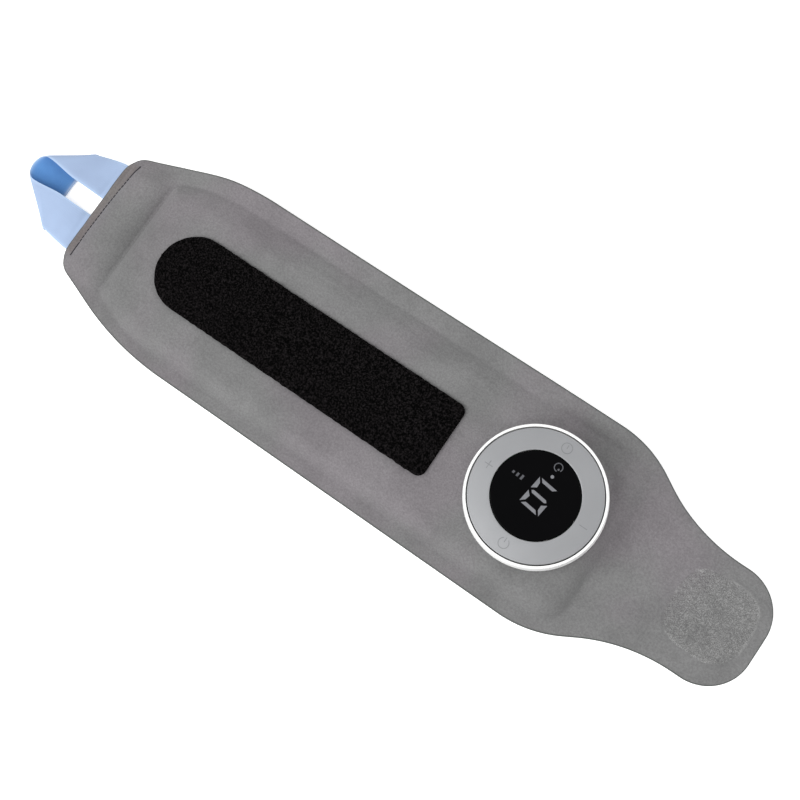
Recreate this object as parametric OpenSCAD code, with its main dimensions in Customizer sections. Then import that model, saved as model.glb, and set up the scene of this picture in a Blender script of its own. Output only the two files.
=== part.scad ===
// Hot and cold therapy belt: a padded fabric belt with a round key-ring controller.
// X runs along the belt towards the tab, Z up. Origin: skin side, belt's centre line, level with the controller.

/* [Belt outline] */
// Distance from the controller axis to the tip of the tab
tab_reach = 110; // [100:1:140]
// Distance from the controller axis to the strap end
strap_end_reach = 248; // [230:1:300]
// Width across the pad
belt_w = 96.4; // [90:0.2:110]
// Width at the corners of the strap end
end_w = 61; // [56:1:66]
// Length of the taper at the strap end
taper_len = 48.6; // [40:0.2:60]
// Width of the tab
tab_w = 53.8; // [46:0.2:60]
// Distance from the controller axis to the start of the shoulder
shoulder_start = 28.2; // [24:0.2:30]
// Length of the shoulder between belt and tab
shoulder_len = 37.2; // [34:0.2:44]
// Corner radius of the strap end
end_corner_r = 12; // [6:0.5:14]
// Radius where the taper meets the belt's side
taper_r = 150; // [60:5:160]
// Radius at the top of the shoulder
shoulder_r = 55; // [20:5:55]
// Radius of the neck
neck_r = 82; // [40:2:84]
// Corner radius of the tab
tab_corner_r = 20; // [12:0.5:22]

/* [Fabric and pad] */
// Thickness of each fabric sheet
sheet_t = 1.2; // [0.8:0.1:1.6]
// Flat flange outside the raised pad
flange_w = 8; // [6:0.5:10]
// Flat band between the strap end and the pad
end_band = 26.5; // [22:0.5:34]
// Distance from the controller axis to the pad's end at the tab side
pad_reach = 36.5; // [36:0.5:40]
// Height of the raised pad above its flange
pad_rise = 6.1; // [5.9:0.1:9]
// Width of the pad's rounded edge, from its side to its flat crown
pad_roll = 10; // [9:0.5:11]
// Corner radius at the foot of the pad, strap side, as a share of the slanted side
pad_corner_share = 0.27; // [0.18:0.01:0.31]
// Corner radius at the foot of the pad, tab side
pad_end_r = 12; // [6:0.5:14]
// Radius at the foot of the pad where its side meets the taper, as a multiple of the slanted side
pad_taper_share = 2.7; // [1.8:0.1:2.7]
// Thickness of the gel pouch
gel_t = 2.7; // [2:0.1:2.9]
// Thickness of the heating film
film_t = 0.3; // [0.2:0.05:0.4]
// Width of the heater's track
trace_w = 1.6; // [1:0.1:2.4]
// Spacing of the heater's runs
trace_pitch = 8; // [6:0.5:12]

/* [Tab fold] */
// Distance from the controller axis to the fold line of the tab
fold_reach = 50; // [46:0.5:54]
// Clearance at the fold line
fold_gap = 0.3; // [0.2:0.05:0.5]
// Width across the hook disc
disc_w = 35; // [28:1:38]
// Thickness of the hook disc
disc_t = 0.9; // [0.6:0.1:0.9]
// Distance from the tab's tip to the centre of the disc
disc_inset = 23; // [21:0.5:26]

/* [Loop patch] */
// Width of the loop tape
patch_w = 38; // [30:1:42]
// Length of the loop patch
patch_len = 157.5; // [120:0.5:158]
// Distance from the controller axis to the square end of the patch
patch_start = 45.5; // [42:0.5:48]
// Thickness of the loop tape
patch_t = 1.4; // [1:0.1:2]
// Sideways place of the patch
patch_shift = -1.2; // [-3:0.1:3]

/* [Strap] */
// Width of the elastic band
band_w = 20; // [18:0.5:22]
// Thickness of the band
band_t = 1; // [0.8:0.1:1.1]
// Gap between the two legs of the strap
leg_gap = 9.5; // [8:0.5:12]
// Length of each leg from the belt to its fold
leg_len = 15; // [12:0.5:20]
// Height of the loop's tip above its low near edge
tip_rise = 6.5; // [4:0.5:10]
// Radius of the folds at their knees
mitre_r = 1.25; // [1.1:0.05:2]
// Sideways place of the strap
strap_shift = 1; // [-2:0.5:2]
// Length of the sewn-in ends
tongue_len = 10; // [8:0.5:12]
// Distance from the strap end to the thread line
stitch_in = 5; // [4:0.5:7]

/* [Controller] */
// Largest radius of the housing
housing_r = 30.8; // [30.6:0.1:34]
// Height of the housing from the fabric to its rim
housing_h = 14.2; // [14.2:0.1:16]
// Wall of the housing
wall = 1.8; // [1.4:0.1:2]
// Floor of the housing
floor_t = 1.8; // [1.6:0.1:2.2]
// Sideways place of the controller on the belt
controller_shift = 1; // [-1.5:0.1:1.5]
// Radius of the silver key ring
ring_r = 28.6; // [27.8:0.1:28.6]
// Groove between the key ring and the housing
ring_gap = 0.4; // [0.4:0.05:0.6]
// Radius of the black lens
lens_r = 18.8; // [18.8:0.05:19.2]
// Gap between the lens and the key ring
lens_gap = 0.3; // [0.3:0.05:0.5]
// Thickness of the lens
lens_t = 1.6; // [1.2:0.1:1.8]
// Tilt of the key ring
tilt_deg = 1.2; // [0.8:0.1:1.3]
// Travel of each switch plunger
key_travel = 0.25; // [0.15:0.05:0.3]
// Thickness of the round board
board_t = 1; // [0.8:0.1:1.2]
// Radius of the round board
board_r = 25.2; // [25:0.1:26]
// Thickness of the clamp plate
plate_t = 1.5; // [1:0.1:1.6]
// Radius of the clamp plate
plate_r = 24.5; // [24:0.1:24.8]
// Length of the battery
battery_len = 30; // [24:1:31]
// Width of the battery
battery_w = 20; // [16:1:21]
// Thickness of the battery
battery_t = 3.6; // [3:0.1:4.2]

/* [Hidden] */
$fn = 72;
eps = 0.01;
big = 400;

// Small clearances: between seated solids, round a soft piece, and in a pivot
seat_gap = 0.1;
soft_gap = 0.3;
pivot_gap = 0.05;

// Belt: derived places
belt_hw = belt_w / 2;
end_hw = end_w / 2;
tab_hw = tab_w / 2;
end_x = -strap_end_reach;
taper_x = end_x + taper_len;
neck_x = shoulder_start + shoulder_len;
taper_deg = atan((belt_hw - end_hw) / taper_len);
belt_t = 2 * sheet_t;

// Pad: derived places and heights
pad_x0 = end_x + end_band;
pad_slant = taper_len - end_band;
pad_hw = belt_hw - flange_w;
pad_z = belt_t + pad_rise;
inner_z = pad_z - sheet_t;
film_z = sheet_t + film_t;
trace_t = 0.1;
trace_z = film_z + trace_t;
gel_z = trace_z + gel_t;
foam_z = gel_z + seat_gap;
roll_steps = 6;
corner_steps = 5;
film_inset = 6;
gel_inset = 7;
weld_w = 2;
trace_edge = 12;
weld_t = 0.5;

// Controller stack, upwards from the fabric
floor_z = pad_z + floor_t;
rim_z = pad_z + housing_h;
board_z = floor_z + 4.7;
board_top = board_z + board_t;
switch_h = 1.4;
plunger_out = 0.5;
plunger_r = 1;
plunger_hidden = 0.9;
foot_r = 24.5;
foot_drop = (foot_r + plunger_r) * sin(tilt_deg) + 0.03;
foot_z = board_top + switch_h + plunger_out + foot_drop;
pivot_z = foot_z + 1.45;
ring_under = pivot_z + 1.7;
ring_top = rim_z + 0.1;
lens_z = rim_z + 0.1 - lens_t;
pin_r = 0.8;
gimbal_r0 = 20.4;
gimbal_r1 = 22.4;
gimbal_h = 2;
tube_r1 = lens_r - 0.15;
tube_r0 = tube_r1 - 1.4;
ledge_z = pivot_z - 1.1;
ledge_t = 0.6;
display_z = ledge_z + ledge_t;
display_t = 1.2;
mask_z = display_z + display_t;
mask_t = lens_z - mask_z;

// Screws and bosses
screw_circle = 21.5;
clamp_turn = 22.5;
chassis_turn = 45;
shank_r = 1;
thread_gap = 0.05;
boss_r = 2.4;
head_r = 1.9;
head_h = 1.1;
arm_t = 1;

// The lead's bend and the window round it
lead_x = 0;
lead_y = -14.5;
lead_r = 1;
lead_bend = 3;
lead_run = 4;
lead_hole_r = 2;
window_r = 8;
plug_h = 2.4;

// Charging socket
usb_w = 8.9;
usb_h = 3.2;
usb_wall = 0.3;
usb_len = 7.4;
usb_back = 22.6;

// ---------- outlines ----------

function unit(v) = v / norm(v);

// Points of the arc that rounds corner b between a and c
function corner_arc(a, b, c, r, steps) =
    let (
        u = unit(a - b),
        v = unit(c - b),
        half = acos(u * v) / 2,
        centre = b + unit(u + v) * r / sin(half),
        from = b + u * r / tan(half) - centre,
        turn = (180 - 2 * half) * sign((b - a)[0] * (c - b)[1] - (b - a)[1] * (c - b)[0]),
        a0 = atan2(from[1], from[0])
    )
    [for (k = [0 : steps]) centre + r * [cos(a0 + turn * k / steps), sin(a0 + turn * k / steps)]];

// A closed outline: corners as points, each with its radius
function rounded(points, radii, steps) =
    let (n = len(points))
    [for (i = [0 : n - 1])
        each corner_arc(points[(i + n - 1) % n], points[i], points[(i + 1) % n], radii[i], steps)];

function flip_y(points) = [for (i = [len(points) - 1 : -1 : 0]) [points[i][0], -points[i][1]]];
function flip_list(list) = [for (i = [len(list) - 1 : -1 : 0]) list[i]];

belt_half = [
    [tab_reach, tab_hw], [neck_x, tab_hw], [shoulder_start, belt_hw],
    [taper_x, belt_hw], [end_x, end_hw]
];
belt_radii = [tab_corner_r, neck_r, shoulder_r, taper_r, end_corner_r];
belt_outline = rounded(
    concat(belt_half, flip_y(belt_half)), concat(belt_radii, flip_list(belt_radii)), 8
);

// The pad's outline moved inwards by d; its corners grow rounder on the way in
function pad_half(d) =
    let (
        knee = [taper_x + (flange_w + d) * tan(taper_deg / 2), pad_hw - d],
        x0 = pad_x0 + d
    )
    [[pad_reach - d, pad_hw - d], knee, [x0, knee[1] - (knee[0] - x0) * tan(taper_deg)]];
function pad_radii(d) = [
    pad_end_r + 0.6 * d,
    pad_slant * pad_taper_share * (1 - d / 20),
    pad_slant * pad_corner_share * (1 + d / 10)
];
function pad_outline(d) = rounded(
    concat(pad_half(d), flip_y(pad_half(d))),
    concat(pad_radii(d), flip_list(pad_radii(d))), corner_steps
);

// Pillow edge: height follows the first quarter of a sine wave over the inset
function roll_inset(k) = k / roll_steps;
function roll_height(k) = sin(90 * k / roll_steps);

function at_height(points, z) = [for (p = points) [p[0], p[1], z]];

// ---------- general solids ----------

// A closed solid through rings of equal length, each symmetric about the XZ plane
module loft(rings) {
    n = len(rings[0]);
    top = (len(rings) - 1) * n;
    points = [for (ring = rings) each ring];
    sides = [for (r = [0 : len(rings) - 2], i = [0 : n - 1])
        let (a = r * n + i, b = r * n + (i + 1) % n)
        each [[a, a + n, b + n], [a, b + n, b]]];
    floor_faces = [for (i = [0 : n / 2 - 2])
        each [[i, i + 1, n - 2 - i], [i, n - 2 - i, n - 1 - i]]];
    roof_faces = [for (f = floor_faces) [top + f[2], top + f[1], top + f[0]]];
    polyhedron(points, concat(sides, floor_faces, roof_faces));
}

// A crowned pad: straight foot from z0 to z1, then the pillow edge up to z2
module pillow(inset, roll, z0, z1, z2) {
    foot = at_height(pad_outline(inset), z0);
    crown = [for (k = [0 : roll_steps])
        at_height(pad_outline(inset + roll * roll_inset(k)), z1 + (z2 - z1) * roll_height(k))];
    loft(concat([foot], crown));
}

module belt_prism(z0, t) {
    translate([0, 0, z0]) linear_extrude(t) polygon(belt_outline);
}

module pad_prism(inset, z0, t) {
    translate([0, 0, z0]) linear_extrude(t) polygon(pad_outline(inset));
}

module around(count, radius, turn) {
    for (i = [0 : count - 1])
        rotate([0, 0, turn + 360 * i / count]) translate([radius, 0, 0]) children();
}

module tube(r1, r0, z0, z1) {
    difference() {
        translate([0, 0, z0]) cylinder(r = r1, h = z1 - z0);
        translate([0, 0, z0 - eps]) cylinder(r = r0, h = z1 - z0 + 2 * eps);
    }
}

// Puts a piece of the controller on the controller's own axis
module at_controller() {
    translate([0, controller_shift, 0]) children();
}

module centred_box(size, place) {
    translate(place - [size[0] / 2, size[1] / 2, 0]) cube(size);
}

// ---------- fabric sheets ----------

// Everything on the controller's side of the tab fold
module belt_side() {
    translate([-big, -big / 2, -big / 2]) cube([big + fold_reach - sheet_t - fold_gap, big, big]);
}

// Everything past the tab fold, with a half-round edge on the fold's axis
module tab_side() {
    translate([fold_reach, -big / 2, -big / 2]) cube([big, big, big]);
    translate([fold_reach, 0, sheet_t]) rotate([90, 0, 0]) cylinder(r = sheet_t, h = big, center = true);
}

// Pockets that the sewn-in strap ends fill
module tongue_pockets() {
    for (side = [-1, 1])
        translate([
            end_x - 1,
            strap_shift + side * (leg_gap + band_w) / 2 - band_w / 2 - seat_gap,
            sheet_t - band_t / 2
        ])
            cube([tongue_len + 1 + seat_gap, band_w + 2 * seat_gap, band_t]);
}

module front_cover() {
    color("#7d787a")
    difference() {
        union() {
            intersection() {
                belt_prism(sheet_t, sheet_t);
                belt_side();
            }
            pillow(0, pad_roll, 1.5 * sheet_t, belt_t, pad_z);
        }
        pillow(sheet_t, pad_roll - sheet_t, 0, sheet_t, inner_z);
        tongue_pockets();
        at_controller() around(4, screw_circle, clamp_turn)
            translate([0, 0, inner_z - 1]) cylinder(r = shank_r + soft_gap, h = sheet_t + 2);
        translate([lead_x, lead_y, inner_z - 1]) cylinder(r = lead_hole_r, h = sheet_t + 2);
    }
}

module back_cover() {
    color("#6f6b6d")
    difference() {
        intersection() {
            belt_prism(0, sheet_t);
            belt_side();
        }
        tongue_pockets();
    }
}

module front_tail() {
    color("#7d787a")
    intersection() {
        belt_prism(sheet_t, sheet_t);
        tab_side();
    }
}

module disc_shape(w, z0, t) {
    r = w * 0.36;
    translate([tab_reach - disc_inset, 0, z0])
        linear_extrude(t)
            polygon(rounded(
                [[w / 2, w / 2], [-w / 2, w / 2], [-w / 2, -w / 2], [w / 2, -w / 2]],
                [r, r, r, r], 8
            ));
}

module back_tail() {
    color("#6f6b6d")
    difference() {
        intersection() {
            belt_prism(0, sheet_t);
            tab_side();
        }
        disc_shape(disc_w + 2 * seat_gap, -1, disc_t + 1);
    }
}

module hook_disc() {
    color("#2b2b2d") disc_shape(disc_w, 0, disc_t);
}

// Loop tape: one end half round, the other square with eased corners
module loop_patch() {
    far_x = -patch_start - patch_len;
    hw = patch_w / 2;
    ease = 4;
    color("#131315")
    translate([0, patch_shift, pad_z])
        linear_extrude(patch_t)
            polygon(rounded(
                [[-patch_start, hw], [far_x, hw], [far_x, -hw], [-patch_start, -hw]],
                [ease, hw - eps, hw - eps, ease], 12
            ));
}

// ---------- strap ----------

knee_x = end_x - leg_len;
near_x = knee_x - 1.76 * mitre_r;
arc_x = knee_x - 0.8 * band_w;
arc_reach = 0.31 * band_w;
strap_axis_x = end_x - band_t / 2 - fold_gap;
flare = 0.17 * leg_gap;
knee_in = 0.155 * band_w;
knee_skew = 0.05 * band_w;
low_z = band_t / 2 + seat_gap;
knee_z = low_z + 2 * mitre_r;
tip_drop = 0.26 * tip_rise;
arc_z = low_z + tip_rise + tip_drop;
leg_steps = 8;
mitre_steps = 10;
cross_steps = 6;

// Smooth step from 0 to 1
function smooth_step(u) = let (v = max(0, min(1, u))) v * v * (3 - 2 * v);

// The band's inner edge on side s: along the leg, then round a quarter ellipse to the tip at q = 1
function loop_edge(q, s) =
    let (
        turn = 90 * max(0, (q - 0.78) / 0.22),
        x = strap_axis_x + (arc_x - strap_axis_x) * min(1, q / 0.78),
        past = max(0, (knee_x - x) / (knee_x - arc_x)),
        half = leg_gap / 2 + flare * smooth_step(past),
        z = sheet_t + (arc_z - knee_z) * pow(past, 1.15)
            + (knee_z - sheet_t) * smooth_step((strap_axis_x - x) / (strap_axis_x - knee_x))
    )
    [x - arc_reach * sin(turn), strap_shift + s * half * cos(turn), z - tip_drop * pow(sin(turn), 2)];

// Half of the band on side s, as pairs of points on its inner and outer edge.
// The outer edge rolls under at the knee while the inner one goes round the open tip.
function strap_half(s) =
    let (
        y1 = strap_shift + s * (leg_gap / 2 + band_w),
        knee_y = y1 - s * knee_in - knee_skew,
        outward = [-0.64, 0.77 * s, 0]
    )
    concat(
        [for (k = [0 : leg_steps - 1])
            let (u = k / leg_steps)
            [loop_edge(0.67 * u, s), [
                strap_axis_x + (knee_x - strap_axis_x) * u,
                y1 + (knee_y - y1) * pow(u, 1.4),
                sheet_t + (knee_z - sheet_t) * smooth_step(u)
            ]]],
        [for (k = [0 : mitre_steps])
            let (u = k / mitre_steps, a = 90 - 180 * u)
            [loop_edge(0.67 + 0.22 * u, s),
                [knee_x, knee_y, low_z + mitre_r]
                + mitre_r * (outward * cos(a) + [0, 0, sin(a)])]],
        [for (k = [1 : cross_steps])
            let (v = k / cross_steps)
            [loop_edge(0.89 + 0.11 * v, s),
                [knee_x + (near_x - knee_x) * sin(90 * v), knee_y + (strap_shift - knee_y) * v, low_z]]]
    );

// Cross-section i of the band: half its thickness to both sides of the pair of edge points
function band_ring(rows, i) =
    let (
        before = rows[max(0, i - 1)],
        after = rows[min(len(rows) - 1, i + 1)],
        across = rows[i][1] - rows[i][0],
        n0 = unit(cross(after[0] - before[0], across)) * band_t / 2,
        n1 = unit(cross(after[1] - before[1], across)) * band_t / 2
    )
    [rows[i][0] + n0, rows[i][1] + n1, rows[i][1] - n1, rows[i][0] - n0];

// Rounded end of the band at the hinge line: thinner and thinner towards the belt
function band_end(s) =
    let (y0 = strap_shift + s * leg_gap / 2, y1 = y0 + s * band_w)
    [for (a = [78, 50, 25])
        let (x = strap_axis_x + band_t / 2 * sin(a), t = band_t / 2 * cos(a))
        [[x, y0, sheet_t + t], [x, y1, sheet_t + t], [x, y1, sheet_t - t], [x, y0, sheet_t - t]]];

module strap_loop() {
    near = strap_half(-1);
    far = strap_half(1);
    rows = concat(near, [for (i = [len(far) - 2 : -1 : 0]) far[i]]);
    far_end = band_end(1);
    rings = concat(
        band_end(-1),
        [for (i = [0 : len(rows) - 1]) band_ring(rows, i)],
        [for (i = [2 : -1 : 0]) far_end[i]]
    );
    n = len(rings);
    last = 4 * (n - 1);
    points = [for (ring = rings) each ring];
    sides = [for (r = [0 : n - 2], i = [0 : 3])
        let (a = 4 * r + i, b = 4 * r + (i + 1) % 4)
        each [[a, b, b + 4], [a, b + 4, a + 4]]];
    ends = [[0, 3, 2], [0, 2, 1], [last, last + 1, last + 2], [last, last + 2, last + 3]];
    color("#b4c8ec") polyhedron(points, concat(sides, ends));
}

module strap_tongues() {
    color("#b4c8ec")
    for (side = [-1, 1])
        translate([
            end_x,
            strap_shift + side * (leg_gap + band_w) / 2 - band_w / 2,
            sheet_t - band_t / 2
        ])
            cube([tongue_len, band_w, band_t]);
}

// Thread line across the strap end, with close bar tacks at both ends
module end_stitches() {
    stitch = [0.6, 1.5, 0.25];
    pitch = 2;
    tack_pitch = 1.7;
    half_line = leg_gap / 2 + band_w + 1.2;
    tacks = 4;
    inner = floor((half_line - tacks * tack_pitch) / pitch);
    places = concat(
        [for (i = [-inner : inner]) i * pitch],
        [for (side = [-1, 1], k = [1 : tacks]) side * (inner * pitch + k * tack_pitch)]
    );
    color("#1c1a22")
    for (y = places)
        centred_box(stitch, [end_x + stitch_in, strap_shift + 0.5 + y, belt_t]);
}

// ---------- inside the pad ----------

module foam_pad() {
    color("#d9d6c8")
    difference() {
        pillow(sheet_t + soft_gap, pad_roll - sheet_t - soft_gap, 0, sheet_t, inner_z);
        translate([-big, -big / 2, foam_z - pad_z]) cube([2 * big, big, pad_z]);
        at_controller() translate([0, 0, foam_z - 1]) cylinder(r = plate_r + soft_gap, h = pad_z);
    }
}

module gel_window(t) {
    translate([lead_x, lead_y, 0]) cylinder(r = window_r, h = t);
}

// Gel pouch: a full middle and a thin welded edge
module gel_pack() {
    color([0.35, 0.6, 0.85, 0.6])
    difference() {
        union() {
            pad_prism(gel_inset, trace_z, weld_t);
            pad_prism(gel_inset + weld_w, trace_z, gel_t);
        }
        gel_window(gel_z + 1);
    }
}

module heating_film() {
    color("#c78a2e") pad_prism(film_inset, sheet_t, film_t);
}

// Meandering resistance track on the film
module heater_trace() {
    run = pad_hw - film_inset - trace_edge;
    x0 = pad_x0 + film_inset + trace_edge;
    x1 = -window_r - 8;
    runs = floor((x1 - x0) / trace_pitch);
    color("#b8b0a0")
    translate([0, 0, film_z])
        linear_extrude(trace_t)
            union() {
                for (i = [0 : runs])
                    translate([x0 + i * trace_pitch - trace_w / 2, -run]) square([trace_w, 2 * run]);
                for (i = [0 : runs - 1])
                    translate([x0 + i * trace_pitch - trace_w / 2, (i % 2 == 0 ? 1 : -1) * run - trace_w / 2])
                        square([trace_pitch + trace_w, trace_w]);
            }
}

module temp_sensor() {
    color("#2f4f3a") centred_box([3, 5, 1.2], [lead_x + 4.5, lead_y, film_z]);
}

// Lead: a run on the film, a bend, then straight up to its plug
module heater_lead() {
    z0 = film_z + lead_r;
    color("#202020")
    translate([lead_x, lead_y, 0]) {
        translate([0, 0, z0 + lead_bend])
            cylinder(r = lead_r, h = board_z - plug_h - z0 - lead_bend);
        translate([-lead_bend, 0, z0 + lead_bend]) rotate([90, 0, 0])
            rotate_extrude(angle = -90) translate([lead_bend, 0]) circle(r = lead_r);
        translate([-lead_bend - lead_run, 0, z0]) rotate([0, 90, 0]) cylinder(r = lead_r, h = lead_run);
    }
}

module lead_plug() {
    color("#efeadc") centred_box([6, 4, plug_h], [lead_x, lead_y, board_z - plug_h]);
}

module clamp_plate() {
    color("#3a3a3c")
    difference() {
        translate([0, 0, inner_z - plate_t]) cylinder(r = plate_r, h = plate_t);
        around(4, screw_circle, clamp_turn)
            translate([0, 0, inner_z - plate_t - 1]) cylinder(r = shank_r + seat_gap, h = plate_t + 2);
        translate([lead_x, lead_y - controller_shift, inner_z - plate_t - 1])
            cylinder(r = lead_hole_r, h = plate_t + 2);
    }
}

module screw(length) {
    difference() {
        translate([0, 0, -head_h]) cylinder(r = head_r, h = head_h);
        for (turn = [0, 90])
            rotate([0, 0, turn]) translate([-head_r * 0.6, -0.2, -head_h - 1]) cube([head_r * 1.2, 0.4, 1.5]);
    }
    cylinder(r = shank_r, h = length);
}

clamp_depth = 4;
module clamp_screws() {
    color("#b9bbbd")
    around(4, screw_circle, clamp_turn)
        translate([0, 0, inner_z - plate_t]) screw(plate_t + sheet_t + clamp_depth - 0.5);
}

// ---------- controller ----------

wide_z = pad_z + 6;
base_r = housing_r - 3.5;

// Outer radius of the housing at height z: fullest at wide_z, drawn in to the base and the rim
function housing_out(z) = z < wide_z
    ? housing_r - (housing_r - base_r) * pow((wide_z - z) / (wide_z - pad_z), 2.2)
    : housing_r - 0.75 * pow((z - wide_z) / (rim_z - wide_z), 1.6);

module housing_shell() {
    steps = 10;
    rim_round = 0.6;
    bore_r = ring_r + ring_gap;
    top = rim_z - rim_round;
    outer = [for (k = [0 : steps])
        let (z = pad_z + (top - pad_z) * k / steps)
        [housing_out(z), z]];
    rim = [for (a = [30 : 30 : 90])
        [housing_out(top) - rim_round * (1 - cos(a)), top + rim_round * sin(a)]];
    inner = [
        [bore_r + 0.15, rim_z], [bore_r, rim_z - 0.15], [bore_r, wide_z + 3],
        [housing_r - wall, wide_z], [housing_out(floor_z + 1) - wall, floor_z + 1],
        [base_r - wall, floor_z], [0, floor_z], [0, pad_z]
    ];
    rotate_extrude($fn = 120) polygon(concat(outer, rim, inner));
}

module usb_slot(w, h, y0, len) {
    r = h / 2;
    translate([0, y0, board_z - usb_h / 2]) rotate([-90, 0, 0])
        linear_extrude(len)
            polygon(rounded(
                [[w / 2, r], [-w / 2, r], [-w / 2, -r], [w / 2, -r]],
                [r - eps, r - eps, r - eps, r - eps], 6
            ));
}

module housing() {
    color("#f6f6f4")
    difference() {
        union() {
            housing_shell();
            around(4, screw_circle, clamp_turn)
                translate([0, 0, floor_z - eps]) cylinder(r = boss_r, h = clamp_depth - floor_t + 0.8);
            around(4, screw_circle, chassis_turn)
                translate([0, 0, floor_z - eps]) cylinder(r = boss_r, h = board_z - floor_z + eps);
        }
        around(4, screw_circle, clamp_turn)
            translate([0, 0, pad_z - 1]) cylinder(r = shank_r + thread_gap, h = clamp_depth + 1);
        around(4, screw_circle, chassis_turn)
            translate([0, 0, floor_z]) cylinder(r = shank_r + thread_gap, h = board_z);
        translate([lead_x, lead_y - controller_shift, pad_z - 1]) cylinder(r = lead_hole_r, h = floor_t + 2);
        usb_slot(usb_w + 2 * seat_gap, usb_h + 2 * seat_gap, usb_back + 1, housing_r);
    }
}

module main_board() {
    color("#1f6b3a")
    difference() {
        translate([0, 0, board_z]) cylinder(r = board_r, h = board_t);
        around(4, screw_circle, chassis_turn)
            translate([0, 0, board_z - 1]) cylinder(r = shank_r + seat_gap, h = board_t + 2);
    }
}

module battery() {
    tab = [0.3, 3, board_z - floor_z];
    color("#c9ccd0") {
        translate([-battery_len / 2, -battery_w / 2, floor_z]) cube([battery_len, battery_w, battery_t]);
        for (y = [-5, 5])
            translate([battery_len / 2, y - tab[1] / 2, floor_z]) cube(tab);
    }
}

// Socket shell with its tongue; the mouth faces +Y
module usb_socket() {
    mouth = usb_back + usb_len;
    color("#a9abad") {
        difference() {
            usb_slot(usb_w, usb_h, usb_back, usb_len);
            usb_slot(usb_w - 2 * usb_wall, usb_h - 2 * usb_wall, usb_back + 1, usb_len);
        }
        centred_box([6.7, usb_len - 1.5, 0.7], [0, usb_back + usb_len / 2 - 0.25, board_z - usb_h / 2 - 0.35]);
    }
}

module chassis() {
    color("#e9e9e6")
    difference() {
        union() {
            tube(tube_r1, tube_r0, board_top, lens_z);
            tube(tube_r1 - 0.5, tube_r0 - 1.8, ledge_z, ledge_z + ledge_t);
            around(4, 0, chassis_turn)
                translate([tube_r1 - 0.8, -2.5, board_top]) cube([screw_circle + 3 - tube_r1 + 0.8, 5, arm_t]);
            around(2, 0, 0)
                translate([tube_r1 - 0.5, 0, pivot_z]) rotate([0, 90, 0])
                    cylinder(r = pin_r, h = gimbal_r1 - tube_r1 + 0.2);
        }
        around(4, screw_circle, chassis_turn)
            translate([0, 0, board_top - 1]) cylinder(r = shank_r + seat_gap, h = arm_t + 2);
    }
}

module chassis_screws() {
    color("#b9bbbd")
    around(4, screw_circle, chassis_turn)
        translate([0, 0, board_top + arm_t]) rotate([180, 0, 0]) screw(arm_t + board_t + 3.5);
}

module board_header() {
    color("#232325") centred_box([12, 2.5, display_z - board_top], [0, 8, board_top]);
}

module display_board() {
    color("#1f6b3a") translate([0, 0, display_z]) cylinder(r = tube_r0 - seat_gap, h = display_t);
}

// Figure 6 as bars: [x, y, width along X, height along Y]
bar_long = [5.2, 1.7];
bar_tall = [1.8, 4];
figure_x = 0.6;
figure_y = 1;
figure_pitch = 6;
bars = [
    [0, figure_pitch, bar_long], [0, 0, bar_long], [0, -figure_pitch, bar_long],
    [-3.9, figure_pitch / 2, bar_tall], [-3.9, -figure_pitch / 2, bar_tall],
    [3.9, -figure_pitch / 2, bar_tall]
];

module bar_shape(grow) {
    for (b = bars)
        translate([figure_x + b[0] - b[2][0] / 2 - grow, figure_y + b[1] - b[2][1] / 2 - grow])
            square([b[2][0] + 2 * grow, b[2][1] + 2 * grow]);
    translate([figure_x, figure_y + figure_pitch + 4]) circle(r = 0.9 + grow);
}

module digit_segments() {
    color("#cfd2d6") translate([0, 0, mask_z]) linear_extrude(mask_t) bar_shape(0);
}

module display_mask() {
    color("#f0f0ee")
    difference() {
        translate([0, 0, mask_z]) cylinder(r = tube_r0 - seat_gap, h = mask_t);
        translate([0, 0, mask_z - 1]) linear_extrude(mask_t + 2) bar_shape(seat_gap);
    }
}

module display_lens() {
    edge = 0.3;
    color("#0c0c0e")
    rotate_extrude($fn = 120)
        polygon([
            [0, lens_z], [lens_r, lens_z], [lens_r, lens_z + lens_t - edge],
            [lens_r - edge, lens_z + lens_t], [0, lens_z + lens_t]
        ]);
}

// ---------- rocker ----------

// Carried by the chassis pins on X; its own pins on Y carry the key ring
module gimbal_ring() {
    pin_len = 2;
    color("#8f9296")
    difference() {
        union() {
            tube(gimbal_r1, gimbal_r0, pivot_z - gimbal_h / 2, pivot_z + gimbal_h / 2);
            around(2, 0, 90)
                translate([gimbal_r1 - 0.6, 0, pivot_z]) rotate([0, 90, 0])
                    cylinder(r = pin_r, h = pin_len + 0.6);
        }
        translate([0, 0, pivot_z]) rotate([0, 90, 0])
            cylinder(r = pin_r + pivot_gap, h = 2 * gimbal_r1 + 2, center = true);
    }
}

// Key marks sunk into the ring: plus, minus, power and mode
module key_marks() {
    mark_r = (ring_r + lens_r) / 2;
    depth = 0.12;
    line = 0.35;
    arm = 3.2;
    translate([0, 0, ring_top - depth]) {
        for (side = [-1, 1])
            centred_box([arm, line, 1], [side * mark_r, 0, 0]);
        centred_box([line, arm, 1], [-mark_r, 0, 0]);
        for (side = [-1, 1])
            translate([0, side * mark_r, 0]) tube(1.9, 1.9 - line, 0, 1);
        centred_box([line, 1.8, 1], [0, -mark_r + 0.4, 0]);
        centred_box([line, 1.2, 1], [0, mark_r + 0.3, 0]);
    }
}

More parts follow.
